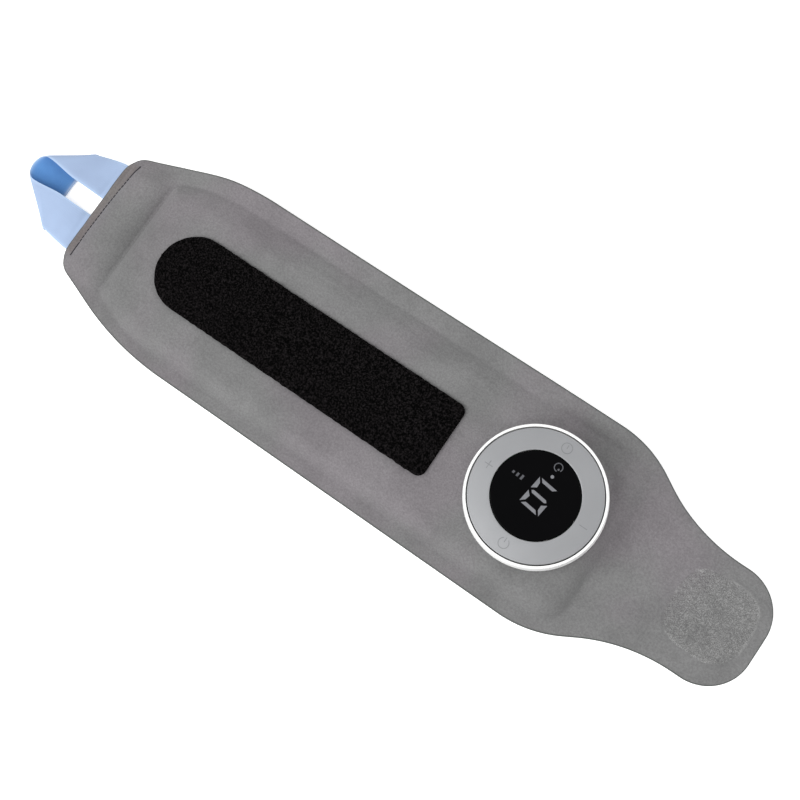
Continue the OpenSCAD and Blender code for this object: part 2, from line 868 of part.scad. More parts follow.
module control_ring() {
    inner_r = lens_r + lens_gap;
    skirt_t = 0.8;
    edge = 0.3;
    skirt_z = ring_under - 2;
    pin_len = 2;
    bore_end = gimbal_r1 + pin_len + 0.3;
    lug = [foot_r + 1.5 - gimbal_r1 - 0.4, 4, ring_under - foot_z + eps];
    color("#b3b5b7")
    difference() {
        union() {
            rotate_extrude($fn = 120)
                polygon([
                    [inner_r, ring_under], [ring_r - skirt_t, ring_under], [ring_r - skirt_t, skirt_z],
                    [ring_r, skirt_z], [ring_r, ring_top - edge], [ring_r - edge, ring_top],
                    [inner_r + 0.7, ring_top], [inner_r, ring_top - 0.45]
                ]);
            around(4, 0, 0)
                translate([gimbal_r1 + 0.4, -lug[1] / 2, foot_z]) cube(lug);
        }
        around(2, 0, 90)
            translate([gimbal_r1, 0, pivot_z]) rotate([0, 90, 0])
                cylinder(r = pin_r + pivot_gap, h = bore_end - gimbal_r1);
        key_marks();
    }
}

// ---------- switches ----------

module switch_bodies() {
    size = 4.5;
    color("#2a2a2c")
    around(4, foot_r, 0)
        difference() {
            centred_box([size, size, switch_h], [0, 0, board_top]);
            translate([0, 0, board_top + switch_h - plunger_hidden - 0.35])
                cylinder(r = plunger_r + pivot_gap, h = switch_h);
        }
}

module plunger(turn) {
    color("#5a5a5c")
    rotate([0, 0, turn])
        translate([foot_r, 0, board_top + switch_h - plunger_hidden])
            cylinder(r = plunger_r, h = plunger_hidden + plunger_out);
}

module plunger_minus() { plunger(0); }
module plunger_mode() { plunger(90); }
module plunger_plus() { plunger(180); }
module plunger_power() { plunger(270); }

front_cover();
back_cover();
front_tail();
back_tail();
hook_disc();
loop_patch();
strap_tongues();
end_stitches();
strap_loop();
foam_pad();
gel_pack();
heating_film();
heater_trace();
temp_sensor();
heater_lead();
lead_plug();
at_controller() clamp_plate();
at_controller() clamp_screws();
at_controller() housing();
at_controller() chassis();
at_controller() chassis_screws();
at_controller() gimbal_ring();
at_controller() control_ring();
at_controller() display_lens();
at_controller() digit_segments();
at_controller() display_mask();
at_controller() display_board();
at_controller() board_header();
at_controller() main_board();
at_controller() switch_bodies();
at_controller() plunger_plus();
at_controller() plunger_minus();
at_controller() plunger_power();
at_controller() plunger_mode();
at_controller() battery();
at_controller() usb_socket();
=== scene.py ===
"""Hot and cold therapy belt: the looks of its fabric, strap and controller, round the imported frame."""

import math

import bmesh
import bpy
import numpy as np
from mathutils import Matrix, Vector


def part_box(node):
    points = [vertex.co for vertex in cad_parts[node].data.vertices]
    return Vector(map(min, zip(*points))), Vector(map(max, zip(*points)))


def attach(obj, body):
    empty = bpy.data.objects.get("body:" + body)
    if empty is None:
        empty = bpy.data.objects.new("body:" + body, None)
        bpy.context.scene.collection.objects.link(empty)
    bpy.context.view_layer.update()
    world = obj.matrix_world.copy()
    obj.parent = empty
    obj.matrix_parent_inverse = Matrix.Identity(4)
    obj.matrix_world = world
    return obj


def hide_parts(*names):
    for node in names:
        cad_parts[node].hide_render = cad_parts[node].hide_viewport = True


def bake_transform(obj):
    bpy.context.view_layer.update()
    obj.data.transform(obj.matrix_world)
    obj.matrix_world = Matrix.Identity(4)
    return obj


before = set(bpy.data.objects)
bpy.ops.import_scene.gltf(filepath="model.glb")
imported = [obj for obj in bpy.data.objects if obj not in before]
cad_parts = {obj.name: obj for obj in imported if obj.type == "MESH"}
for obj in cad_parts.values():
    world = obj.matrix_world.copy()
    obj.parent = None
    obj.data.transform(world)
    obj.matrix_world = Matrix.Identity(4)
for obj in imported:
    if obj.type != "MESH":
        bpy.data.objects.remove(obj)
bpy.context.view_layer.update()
MM = 0.001
TURN = 2 * math.pi

# ---------- driving sizes, in millimetres, as the frame has them ----------

def edge(node, axis, side):
    """One face of a node's box: axis 0, 1 or 2, side 0 for the low face and 1 for the high one."""
    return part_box(node)[side][axis] / MM


def middle(node, axis):
    """Middle of a node's box along an axis."""
    return (edge(node, axis, 0) + edge(node, axis, 1)) / 2


END_X = edge("back_cover", 0, 0)  # strap end of the belt
TAB_TIP = edge("front_tail", 0, 1)  # tip of the tab
BELT_HW = edge("back_cover", 1, 1)  # half the belt's width
SHEET_T = edge("back_cover", 2, 1)  # one fabric sheet
BELT_T = 2 * SHEET_T
PAD_Z = edge("front_cover", 2, 1)  # crown of the pad
PAD_RISE = PAD_Z - BELT_T
END_HW = 30.5  # half the width at the strap end
TAPER_LEN = 48.6
TAB_HW = 26.9
SHOULDER_X = 28.2
NECK_X = 65.4
END_CORNER_R = 12.0
TAPER_R = 150.0
SHOULDER_R = 55.0
NECK_R = 82.0
TAB_CORNER_R = 20.0
FLANGE_W = 8.0
PAD_REACH = 36.5  # controller end of the pad
PAD_X0 = END_X + 26.5  # strap end of the pad
PAD_ROLL = 10.0  # width of the pad's rounded edge
PAD_SHIFT = 0.8  # the moulded pad sits this much towards -Y
CTRL_Y = 1.0  # the controller stands a little off the centre line
HOUSING_R = edge("housing", 0, 1)
PATCH_X0, PATCH_X1 = edge("loop_patch", 0, 0), edge("loop_patch", 0, 1)
PATCH_Y = middle("loop_patch", 1)
STRAP_Y = 1.0
BAND_W = 20.0
BAND_T = 1.0
LEG_GAP = 9.5  # between the strap's two legs
STITCH_X = middle("end_stitches", 0)
SEAM_Y = STRAP_Y + 0.6
DISC_X, DISC_Y = middle("hook_disc", 0), 1.1
DISC_W = edge("hook_disc", 0, 1) - edge("hook_disc", 0, 0)

# ---------- small helpers ----------

def linear(hex_colour):
    """An sRGB hex value as a linear RGBA colour."""
    value = [int(hex_colour[i:i + 2], 16) / 255 for i in (1, 3, 5)]
    return [c / 12.92 if c <= 0.04045 else ((c + 0.055) / 1.055) ** 2.4 for c in value] + [1.0]


def feed(node, inputs):
    """Sets a node's inputs: plain values, hex colours, or links from a socket or a node's first live output."""
    for name, value in inputs.items():
        if isinstance(value, bpy.types.Node):
            value = next(socket for socket in value.outputs if socket.enabled)
        if isinstance(value, bpy.types.NodeSocket):
            node.id_data.links.new(value, node.inputs[name])
        else:
            node.inputs[name].default_value = linear(value) if isinstance(value, str) else value
    return node


def add(tree, kind, inputs=None, **settings):
    """Adds a node with its settings, values and links."""
    made = tree.nodes.new("ShaderNode" + kind)
    for name, value in settings.items():
        setattr(made, name, value)
    return feed(made, inputs or {})


def new_material(name, values):
    """A material and its node tree, with one Principled shader whose constant sockets are set here."""
    made = bpy.data.materials.new(name)
    made.use_nodes = True
    feed(made.node_tree.nodes["Principled BSDF"], values)
    return made, made.node_tree


def dressed(made, colour, height, strength, depth):
    """Gives a material its colour and a bump that reads height; depth is in metres."""
    tree = made.node_tree
    bump = add(tree, "Bump", {"Height": height, "Strength": strength, "Distance": depth})
    feed(tree.nodes["Principled BSDF"], {"Base Color": colour, "Normal": bump})
    return made


def placed(name, data):
    """An object of the given mesh, lamp or camera, linked to the scene."""
    made = bpy.data.objects.new(name, data)
    bpy.context.collection.objects.link(made)
    return made


def mesh_object(name, points, faces, smooth=True, uv=None):
    """An object from points in millimetres and index faces; uv gives one pair for each point."""
    mesh = bpy.data.meshes.new(name)
    mesh.from_pydata((np.asarray(points) * MM).tolist(), [], [list(map(int, face)) for face in faces])
    if uv is not None:
        corner = np.empty(len(mesh.loops), dtype=np.int32)
        mesh.loops.foreach_get("vertex_index", corner)
        layer = mesh.uv_layers.new(name="UVMap")
        layer.data.foreach_set("uv", np.asarray(uv, dtype=np.float32)[corner].ravel())
    mesh.polygons.foreach_set("use_smooth", [smooth] * len(mesh.polygons))
    mesh.update()
    return placed(name, mesh)


def mark_points(made, name, values):
    """Stores one number for each point of a mesh, for its material to read."""
    layer = made.data.attributes.new(name, "FLOAT", "POINT")
    layer.data.foreach_set("value", np.ravel(values).astype(np.float32))


def outward(made):
    """Merges doubles and turns every face outwards."""
    work = bmesh.new()
    work.from_mesh(made.data)
    bmesh.ops.remove_doubles(work, verts=work.verts, dist=1e-7)
    bmesh.ops.recalc_face_normals(work, faces=work.faces)
    work.to_mesh(made.data)
    work.free()
    return made


def smooth_by_angle(made, degrees):
    """Marks edges sharper than the angle, so that flats stay flat and rounds stay round."""
    work = bmesh.new()
    work.from_mesh(made.data)
    for side in work.edges:
        side.smooth = len(side.link_faces) == 2 and side.calc_face_angle(0) < math.radians(degrees)
    work.to_mesh(made.data)
    work.free()


def grid_faces(rows, columns, close_rows=False, close_columns=False):
    """Quads of a grid of points stored row by row."""
    r = np.arange(rows if close_rows else rows - 1)
    c = np.arange(columns if close_columns else columns - 1)
    r, c = np.meshgrid(r, c, indexing="ij")
    r1, c1 = (r + 1) % rows, (c + 1) % columns
    corners = [r * columns + c, r1 * columns + c, r1 * columns + c1, r * columns + c1]
    return np.stack(corners, -1).reshape(-1, 4)


def tube_faces(rings, sides):
    """Faces of a tube of rings with its two ends closed."""
    ends = [list(range(sides))[::-1], [(rings - 1) * sides + i for i in range(sides)]]
    return grid_faces(rings, sides, False, True).tolist() + ends


def tubes(name, stacks, smooth=True):
    """Closed tubes in one mesh: each stack holds the points of a tube, ring by ring."""
    points, faces, base = [], [], 0
    for stack in stacks:
        rings, sides = stack.shape[:2]
        points.append(stack.reshape(-1, 3))
        faces += [[base + i for i in face] for face in tube_faces(rings, sides)]
        base += rings * sides
    return outward(mesh_object(name, np.concatenate(points), faces, smooth))


def lathe(name, profile, steps, sharp):
    """A closed surface of revolution: each profile point [r, z] swept once round the controller's axis.

    Edges sharper than the angle sharp stay crisp.
    """
    r, z = np.asarray(profile, float).T
    angle = np.linspace(0, TURN, steps, endpoint=False)
    points = np.stack([np.outer(np.cos(angle), r), CTRL_Y + np.outer(np.sin(angle), r),
                       np.broadcast_to(z, (steps, len(z)))], -1).reshape(-1, 3)
    made = outward(mesh_object(name, points, grid_faces(steps, len(z), True, True)))
    smooth_by_angle(made, sharp)
    return made


def arc(cx, cz, r, a0, a1, steps):
    """Profile points on a circle from angle a0 to a1, in degrees."""
    a = np.radians(np.linspace(a0, a1, steps + 1))
    return np.stack([cx + r * np.cos(a), cz + r * np.sin(a)], -1).tolist()


def waves(x, y, seed, count, wavelength):
    """A smooth random field of about unit height: a sum of plane waves of seeded direction and phase."""
    rng = np.random.default_rng(seed)
    total = np.zeros(np.broadcast(x, y).shape)
    for _ in range(count):
        turn, phase = rng.uniform(0, TURN, 2)
        k = TURN / (wavelength * rng.uniform(0.5, 1.5))
        total = total + np.sin(k * (x * math.cos(turn) + y * math.sin(turn)) + phase)
    return total / math.sqrt(count / 2)


def ease(t):
    """Smooth step from 0 to 1."""
    t = np.clip(t, 0, 1)
    return t * t * (3 - 2 * t)


def bell(x, height, place, width):
    """A bell curve: the height times e to the minus square of the distance over the width."""
    return height * np.exp(-((x - place) / width) ** 2)


def crowded(count, power):
    """Places from -1 to 1 that crowd together towards both ends."""
    v = np.linspace(-1, 1, count)
    return np.sign(v) * (1 - (1 - np.abs(v)) ** power)

# ---------- the belt's outline and relief ----------

FLANK_TILT = math.atan2(BELT_HW - TAB_HW, NECK_X - SHOULDER_X)
TAPER_TILT = math.atan2(BELT_HW - END_HW, TAPER_LEN)
TAPER_SLOPE = math.tan(TAPER_TILT)
# corner radii of the pad at its controller end, at the knee of the taper and at the strap end
FOOT_CORNERS = (12, 60, 6)
CROWN_CORNERS = (25, 38, 18)
FOAM_CORNERS = (12, 13, 12)
FOAM_GAP = 0.2  # between the foam and the front sheet
FOOT_LIFT = 2.0  # the far flange's foot stands this far off the floor
CURL_RISE, CURL_RUN = 2.8, 4.0  # and its edge this much higher, within a few of these runs
ARCH_RISE, ARCH_X, ARCH_RUN = 4.6, END_X + 14.6, 12.0


def half_width(x):
    """Half the belt's width at x: arcs and straight lines joined tangentially, from strap end to tab tip."""
    x = np.clip(np.asarray(x, float), END_X, TAB_TIP)
    shoulder0 = SHOULDER_X - SHOULDER_R * math.tan(FLANK_TILT / 2)
    neck1 = NECK_X + NECK_R * math.tan(FLANK_TILT / 2)
    taper1 = END_X + TAPER_LEN + TAPER_R * math.tan(TAPER_TILT / 2)
    tip0 = TAB_TIP - TAB_CORNER_R
    end_y = END_HW + END_CORNER_R * (TAPER_SLOPE - 1 / math.cos(TAPER_TILT))

    def bulge(cx, r):
        return np.sqrt(np.maximum(r * r - (x - cx) ** 2, 0))

    stretches = [
        (tip0, TAB_HW - TAB_CORNER_R + bulge(tip0, TAB_CORNER_R)),
        (neck1, TAB_HW),
        (neck1 - NECK_R * math.sin(FLANK_TILT), TAB_HW + NECK_R - bulge(neck1, NECK_R)),
        (shoulder0 + SHOULDER_R * math.sin(FLANK_TILT), BELT_HW - (x - SHOULDER_X) * math.tan(FLANK_TILT)),
        (shoulder0, BELT_HW - SHOULDER_R + bulge(shoulder0, SHOULDER_R)),
        (taper1, BELT_HW),
        (taper1 - TAPER_R * math.sin(TAPER_TILT), BELT_HW - TAPER_R + bulge(taper1, TAPER_R)),
        (END_X + END_CORNER_R * (1 - math.sin(TAPER_TILT)), END_HW + (x - END_X) * TAPER_SLOPE)]
    return np.select([x > start for start, _ in stretches], [width for _, width in stretches],
                     end_y + bulge(END_X + END_CORNER_R, END_CORNER_R))


def round_corner(a, b, c, r):
    """Inward distance at a corner rounded to radius r.

    a and b are the distances to its two sides and c is the cosine between their inward normals.
    Where the point lies in the corner's fan, the distance is r less the distance to the arc's centre.
    """
    u, v = r - a, r - b
    reach = np.sqrt(np.maximum(u * u + v * v - 2 * u * v * c, 0) / (1 - c * c))
    return np.where((u > v * c) & (v > u * c), r - reach, np.minimum(a, b))


def foot_distance(x, y, corners):
    """Distance inwards from the foot of the pad: the least of those at its three kinds of rounded corner."""
    y = np.abs(y)
    side = BELT_HW - FLANGE_W - y
    slope = (END_HW + (x - END_X) * TAPER_SLOPE - y) * math.cos(TAPER_TILT) - FLANGE_W
    return np.minimum(np.minimum(round_corner(PAD_REACH - x, side, 0.0, corners[0]),
                                 round_corner(side, slope, math.cos(TAPER_TILT), corners[1])),
                      round_corner(x - PAD_X0, slope, math.sin(TAPER_TILT), corners[2]))


def pad_depth(x, y):
    """Distance inwards from the foot of the pad, whose corners grow rounder towards the crown."""
    foot = foot_distance(x, y + PAD_SHIFT, FOOT_CORNERS)
    crown = foot_distance(x, y + PAD_SHIFT, CROWN_CORNERS)
    near_crown = ease(crown / 8)
    return foot * (1 - near_crown) + crown * near_crown


def pad_profile(depth, far):
    """Pillow edge: one less a falling power, and gentler on the far side, where far is 1 instead of 0."""
    steep = 1 - (1 - np.clip(depth / PAD_ROLL, 0, 1)) ** 2.3
    gentle = 1 - (1 - np.clip(depth / (PAD_ROLL + 2.5), 0, 1)) ** 1.5
    return steep + (gentle - steep) * far


def foam_top(x, y):
    """Height of the foam beneath: a quarter sine from the foot, as its solid in the frame has it."""
    inset = SHEET_T + FOAM_GAP
    inside = foot_distance(x, y, FOAM_CORNERS) - inset
    return SHEET_T + PAD_RISE * np.sin(np.clip(inside / (PAD_ROLL - inset), 0, 1) * math.pi / 2)


def rounded_square(x, y, half, r):
    """Signed distance inwards from a rounded square's outline."""
    qx, qy = np.abs(x) - (half - r), np.abs(y) - (half - r)
    return r - np.hypot(np.maximum(qx, 0), np.maximum(qy, 0)) - np.minimum(np.maximum(qx, qy), 0)


def far_side(x):
    """1 along the belt's straight side, fading to 0 at the strap end's taper and at the shoulder."""
    return ease((x - END_X - 26) / 30) * (1 - ease((x - SHOULDER_X + 6) / 34))


def curl(x, y, inwards):
    """Lift along the sides: the far flange stands up from its foot and levels out, the near one hardly lifts.

    Past the foot the lift fades out over the distance inwards, short for the back sheet, long for the front.
    """
    out = np.abs(y + PAD_SHIFT) - (half_width(x) - FLANGE_W)
    past = np.maximum(out, 0)
    far = FOOT_LIFT * ease((out + inwards) / inwards) + CURL_RISE * (1 - np.exp(-past / CURL_RUN))
    return np.where(y > 0, far * (1 + 0.12 * waves(x, 0.0, 21, 6, 90)), 0.02 * past ** 1.6) * far_side(x)


def arch(x, y):
    """Lift of both sheets in the band between seam and pad: a parabola along the belt that ends at the pad."""
    across = ease((END_HW + 5 - np.abs(y)) / 12)
    return ARCH_RISE * across * np.maximum(1 - ((x - ARCH_X) / ARCH_RUN) ** 2, 0)


def lift(x, y):
    """How far the back sheet stands off the floor."""
    return curl(x, y, 2.5) + arch(x, y)


def seam_x(y):
    """The thread line's place: it bows outwards a little and leans with the strap end."""
    return STITCH_X - 0.6 + 1.2 * (y / 25.0) ** 2 + 1.1 * y / 25.0


def relief(x, y):
    """Height of the front sheet's upper face: flange, pillow edge, seam dip and the slack of the fabric."""
    depth = pad_depth(x, y)
    off_axis = np.hypot(x, y - CTRL_Y) - HOUSING_R
    raised = curl(x, y, 14) + arch(x, y)
    far = ease(y / 20) * far_side(x)
    z = BELT_T + raised + (PAD_RISE - raised) * pad_profile(depth, far)
    # the crown swells towards the strap end, and its strap-side edge stands up in a low ridge
    z = z + ease(depth / 16) * bell(x, 1.4, -188, 26)
    z = z + ease((34 - np.abs(y)) / 12) * ease(depth / 5) * bell(x, 1.0, PAD_X0 + 7, 4.8)
    # thread line: a narrow valley, and a low rise on its outer side
    on_seam = ease((LEG_GAP / 2 + BAND_W + 2.6 - np.abs(y - SEAM_Y)) / 2)
    z = z + on_seam * (bell(x - seam_x(y), -0.5, 0, 0.8) + bell(x - seam_x(y), 0.2, -2.6, 1.4))
    # crown: hollows and swells, halved by the stiff tape, that fade out at the controller and at the edge
    crown = ease((depth - 4 * far) / (9 + 5 * far)) * ease(off_axis / 14)
    tape = ease((24 - np.abs(y - PATCH_Y)) / 6) * ease((x - PATCH_X0 + 4) / 6) * ease((PATCH_X1 + 4 - x) / 6)
    slack = crown * (1 - 0.5 * tape) * (0.30 * (waves(x, y, 3, 9, 46) - 1) + 0.08 * waves(x, y, 6, 12, 19))
    z = z + np.where(slack < 0, -0.7 * np.tanh(-slack / 0.7), slack)
    edge_gap = half_width(x) - np.abs(y)
    z = z + 0.07 * ease(off_axis / 8) * waves(x, y, 5, 9, 15) * ease(edge_gap / 5)
    # small pinches at the pad's two corners at the strap end
    for pinch_y, deep in ((29.5, 0.9), (-30.5, 0.35)):
        z = z - bell(x, deep, -216.5, 1.3) * bell(y, 1, pinch_y, 1.3)
    z = np.where(foot_distance(x, y, FOAM_CORNERS) > 4, np.maximum(z, foam_top(x, y) + 0.25), z)
    # the welded disc under the tab draws the sheet down and leaves a raised rim
    weld = rounded_square(x - DISC_X, y - DISC_Y, DISC_W / 2 + 0.6, 12)
    return z - 0.2 * ease(weld) + bell(weld, 0.12, -0.2, 0.5)

# ---------- fabric sheets ----------

RIM = 0.45  # width of a sheet's rounded rim


def belt_grid(count, across):
    """Grid over the belt: rows at fixed x, points spread over the width there.

    The rows lie closer together at both rounded ends and over the disc's edges.
    """
    quarter = math.pi / 2
    near_disc = DISC_X + (DISC_W / 2 - 6 * np.linspace(0, 1, 14)) * np.array([[-1], [1]])
    x = np.unique(np.concatenate([
        np.linspace(END_X + RIM, TAB_TIP - RIM, count),
        END_X + RIM + END_CORNER_R * (1 - np.cos(np.linspace(0, quarter, 12))),
        TAB_TIP - RIM - TAB_CORNER_R * (1 - np.cos(np.linspace(0, quarter, 20))),
        near_disc.ravel()]).round(3))
    grow = (TAB_TIP - END_X) / (TAB_TIP - END_X - 2 * RIM)
    width = half_width(END_X + (x - END_X - RIM) * grow) - RIM
    return np.repeat(x[:, None], across, 1), width[:, None] * crowded(across, 1.15)[None, :]


def border(rows, columns):
    """Indices round a grid's edge, in order."""
    return np.concatenate([np.arange(columns),
                           np.arange(1, rows) * columns + columns - 1,
                           (rows - 1) * columns + np.arange(columns - 2, -1, -1),
                           np.arange(rows - 2, 0, -1) * columns])


def closed_sheet(name, x, y, upper, lower, rim_up, rim_down):
    """A closed sheet: upper and lower grids joined by a rim, its edges rounded by rim_up and rim_down."""
    rows, columns = x.shape
    count = rows * columns
    loop = border(rows, columns)
    n = len(loop)
    px, py, z_up, z_down = (grid.ravel()[loop] for grid in (x, y, upper, lower))
    tx, ty = (np.roll(p, -1) - np.roll(p, 1) for p in (px, py))
    size = np.hypot(tx, ty)
    nx, ny = ty / size, -tx / size
    if (px * nx + py * ny).mean() < 0:
        nx, ny = -nx, -ny
    rings = [np.stack([px + nx * RIM * math.sin(a), py + ny * RIM * math.sin(a),
                       z + bend * (1 - math.cos(a))], -1)
             for z, bend, angles in ((z_up, -rim_up, (30, 60, 90)), (z_down, rim_down, (90, 60, 30)))
             for a in np.radians(angles)]
    faces_of = [np.stack([x.ravel(), y.ravel(), z.ravel()], -1) for z in (upper, lower)]
    points = np.concatenate(faces_of + rings)
    chains = [loop] + [2 * count + n * k + np.arange(n) for k in range(6)] + [loop + count]
    sides = [np.stack([a, np.roll(a, -1), np.roll(b, -1), b], -1) for a, b in zip(chains, chains[1:])]
    quads = grid_faces(rows, columns)
    made = mesh_object(name, points, np.concatenate([quads, quads[:, ::-1] + count] + sides))
    # the rim and the top grid's border are marked for a dark line: the heat-cut edge's own tone plus painted
    # shade of the gap beneath the sheet's edge
    edge_and_shade = np.zeros(len(points))
    edge_and_shade[2 * count:] = 1
    edge_and_shade[loop] = 0.6
    mark_points(made, "cut_edge_and_shade", edge_and_shade)
    return outward(made)


def front_sheet():
    """The front sheet with the pad moulded up in it, from the strap end to the tab's tip."""
    x, y = belt_grid(330, 116)
    upper = relief(x, y)
    lower = np.maximum(upper - SHEET_T, SHEET_T + 0.02 + lift(x, y))
    made = closed_sheet("belt_front", x, y, upper, lower, 0.5, 0.12)
    place = np.empty(3 * len(made.data.vertices), np.float32)
    made.data.vertices.foreach_get("co", place)
    px, py, _ = place.reshape(-1, 3).T / MM
    mark_points(made, "hem", ease((seam_x(py) - px) / 0.6) * ease((27.5 - np.abs(py - SEAM_Y)) / 3))
    return made


def flat_area():
    """Area of the belt's outline in square millimetres, by trapezoids along its length."""
    x = np.linspace(END_X, TAB_TIP, 2000)
    width = 2 * half_width(x)
    return float(((width[1:] + width[:-1]) / 2 * np.diff(x)).sum())


def back_sheet():
    """The skin-side sheet: flat where it rests, with a recess for the hook disc."""
    x, y = belt_grid(260, 96)
    raised = lift(x, y)
    recess = 0.95 * ease(rounded_square(x - DISC_X, y, DISC_W / 2 + 0.2, 12) / 0.8)
    uneven = 0.04 * np.maximum(1 + waves(x, y, 8, 8, 18), 0) * ease((half_width(x) - np.abs(y)) / 6)
    lower = np.minimum(recess + uneven, 0.98) + raised
    return closed_sheet("belt_lining", x, y, SHEET_T - 0.02 + raised, lower, 0.12, 0.45)

# ---------- loop patch ----------

def patch_outline():
    """The tape's outline as x stations and half widths: one end half round, the other with eased corners."""
    x0, x1 = PATCH_X0, PATCH_X1
    hw = (edge("loop_patch", 1, 1) - edge("loop_patch", 1, 0)) / 2
    corner_r = 4.0
    x = np.unique(np.concatenate([
        x0 + hw * (1 - np.cos(np.linspace(0, math.pi / 2, 30))),
        np.linspace(x0 + hw, x1 - corner_r, 120),
        x1 - corner_r * (1 - np.cos(np.linspace(0, math.pi / 2, 8)))]).round(3))
    width = np.where(x < x0 + hw, np.sqrt(np.maximum(hw ** 2 - (x - x0 - hw) ** 2, 0.04)), hw)
    corner = np.sqrt(np.maximum(corner_r ** 2 - (x - x1 + corner_r) ** 2, 0))
    return x, np.where(x > x1 - corner_r, hw - corner_r + corner, width)


def loop_patch():
    """The loop tape lying on the pad: a low slab with soft edges that follows the sheet beneath it."""
    x, width = patch_outline()
    v = crowded(60, 1.3)[None, :]
    gx = np.repeat(x[:, None], v.size, 1)
    ragged = 0.07 * waves(gx, np.sign(v) * 9, 11, 9, 3)
    gy = (width - RIM)[:, None] * v + np.abs(v) ** 6 * np.sign(v) * ragged + PATCH_Y
    base = relief(gx, gy)
    top = base + 1.15 + 0.05 * waves(gx, gy, 12, 10, 3.0)
    return closed_sheet("loop_tape", gx, gy, top, base + 0.03, 0.55, 0.05)

# ---------- strap ----------

KNEE_X = END_X - 15.0  # outer corner of the loop, where the band rolls under
NEAR_X = KNEE_X - 2.2
ARC_X = END_X - 31.0  # the inner edge turns back here, round an arc of ARC_REACH
ARC_REACH = 6.2
STRAP_AXIS = END_X - BAND_T / 2 - 0.3
FLARE = 1.6  # how far each inner edge spreads past the knee
KNEE_IN = 3.1
KNEE_SKEW = 1.0
FOLD_R = 1.25
LOW_Z = BAND_T / 2 + 0.1
KNEE_Z = LOW_Z + 2 * FOLD_R
ARC_Z = 8.8
TIP_Z = 7.1
TONGUE = 10.0  # length sewn in between the sheets
STRAIGHT = 0.78  # share of the inner edge before its turn


def strap_inner(q, side):
    """The band's inner edge, q from 0 at the belt to 1 at the loop's tip.

    It runs straight along the gap, spreads and rises towards the fold, then turns through a
    quarter ellipse to the middle of the tip.
    """
    u = np.clip(q / STRAIGHT, 0, 1)
    turn = np.clip((q - STRAIGHT) / (1 - STRAIGHT), 0, 1) * math.pi / 2
    x = STRAP_AXIS + (ARC_X - STRAP_AXIS) * u
    past = np.clip((KNEE_X - x) / (KNEE_X - ARC_X), 0, 1)
    half = LEG_GAP / 2 + FLARE * ease(past)
    z = SHEET_T + (ARC_Z - SHEET_T) * (1 - (1 - u) ** 1.7) * ease(u / 0.12)
    return np.stack([x - ARC_REACH * np.sin(turn), STRAP_Y + side * half * np.cos(turn),
                     z + (TIP_Z - ARC_Z) * np.sin(turn) ** 2], -1)


def strap_half(side):
    """Half the band as two rows of points, its inner and outer edge, joined by straight rulings.

    The outer edge leaves the belt, drawn in a little, rolls under at the knee round a half circle
    whose axis is the diagonal, and runs back below to the middle.  The inner edge meanwhile goes
    round the open end, so the fold is a cone: tight at the knee and wide at the tip.
    """
    y1 = STRAP_Y + side * (LEG_GAP / 2 + BAND_W)
    knee_y = y1 - side * KNEE_IN - KNEE_SKEW
    knee_at, knee_done = 0.67, 0.89  # shares of the inner edge where the knee starts and ends
    up = np.array([0.0, 0.0, 1.0])
    outside = np.array([-0.64, 0.77 * side, 0.0])
    tongue = np.linspace(END_X + TONGUE, STRAP_AXIS, 14)[:-1]
    inner, outer = ([np.stack([tongue, np.full(13, y), SHEET_T + arch(tongue, y)], -1)]
                    for y in (STRAP_Y + side * LEG_GAP / 2, y1))
    u = np.linspace(0, 1, 29)[:-1]
    inner.append(strap_inner(knee_at * u, side))
    outer.append(np.stack([STRAP_AXIS + (KNEE_X - STRAP_AXIS) * u, y1 + (knee_y - y1) * u ** 1.4,
                           SHEET_T + (KNEE_Z - SHEET_T) * u ** 3], -1))
    a = np.radians(np.linspace(90, -90, 27))[:, None]
    inner.append(strap_inner(knee_at + (knee_done - knee_at) * np.linspace(0, 1, 27), side))
    outer.append([KNEE_X, knee_y, LOW_Z + FOLD_R] + FOLD_R * (0.4 * outside * np.cos(a) + up * np.sin(a)))
    v = np.linspace(0, 1, 24)[1:]
    inner.append(strap_inner(knee_done + (1 - knee_done) * v, side))
    outer.append(np.stack([KNEE_X + (NEAR_X - KNEE_X) * np.sin(v * math.pi / 2),
                           knee_y + (STRAP_Y - knee_y) * v, np.full(23, LOW_Z)], -1))
    return np.concatenate(inner), np.concatenate(outer)


def strap_band():
    """The elastic band as one closed ribbon: across it, a flat oval section with thick soft rims."""
    near, far = strap_half(-1), strap_half(1)
    inner, outer = (np.concatenate([near[i], far[i][-2::-1]]) for i in (0, 1))
    across = 20
    w = (1 - np.cos(np.linspace(0, math.pi, across))) / 2
    ruling = (outer - inner)[:, None, :]
    mid = inner[:, None, :] + ruling * w[None, :, None]
    normal = np.cross(np.gradient(mid, axis=0), np.broadcast_to(ruling, mid.shape))
    normal /= np.linalg.norm(normal, axis=2, keepdims=True)
    if normal[0, 0, 2] < 0:
        normal = -normal
    # the thickness side is the same all along, though the halves run opposite ways
    half = (BAND_T / 2 * np.clip(1 - (2 * np.abs(w - 0.5)) ** 14, 0.25, 1))[None, :, None]
    ring = np.concatenate([mid + normal * half, (mid - normal * half)[:, ::-1, :]], 1)
    count, size = ring.shape[:2]
    along = np.concatenate([[0], np.cumsum(np.linalg.norm(np.diff(mid.mean(1), axis=0), axis=1))])
    place = np.concatenate([w, w[::-1]])
    uv = np.stack([np.repeat(along[:, None], size, 1), np.repeat(place[None, :] * BAND_W, count, 0)], -1)
    made = mesh_object("elastic_band", ring.reshape(-1, 3), tube_faces(count, size), uv=uv.reshape(-1, 2))
    # the outer colour also covers both rims of the back, and more of it where the knee turns it up
    side = np.zeros((count, size))
    side[:, :across] = 1
    row = np.abs(np.arange(count) - (count - 1) / 2)
    knee = ((row > 17) & (row < 48))[:, None]
    back = w[::-1]
    side[:, across:] = (back > 0.94) | (back < 0.02) | (knee & (back > 0.8))
    mark_points(made, "outer_face", side)
    # rim marks where the painted highlight along the band's two edges goes
    mark_points(made, "rim", np.broadcast_to((2 * np.abs(place - 0.5)) ** 14, (count, size)))
    return outward(made)

# ---------- stitches ----------

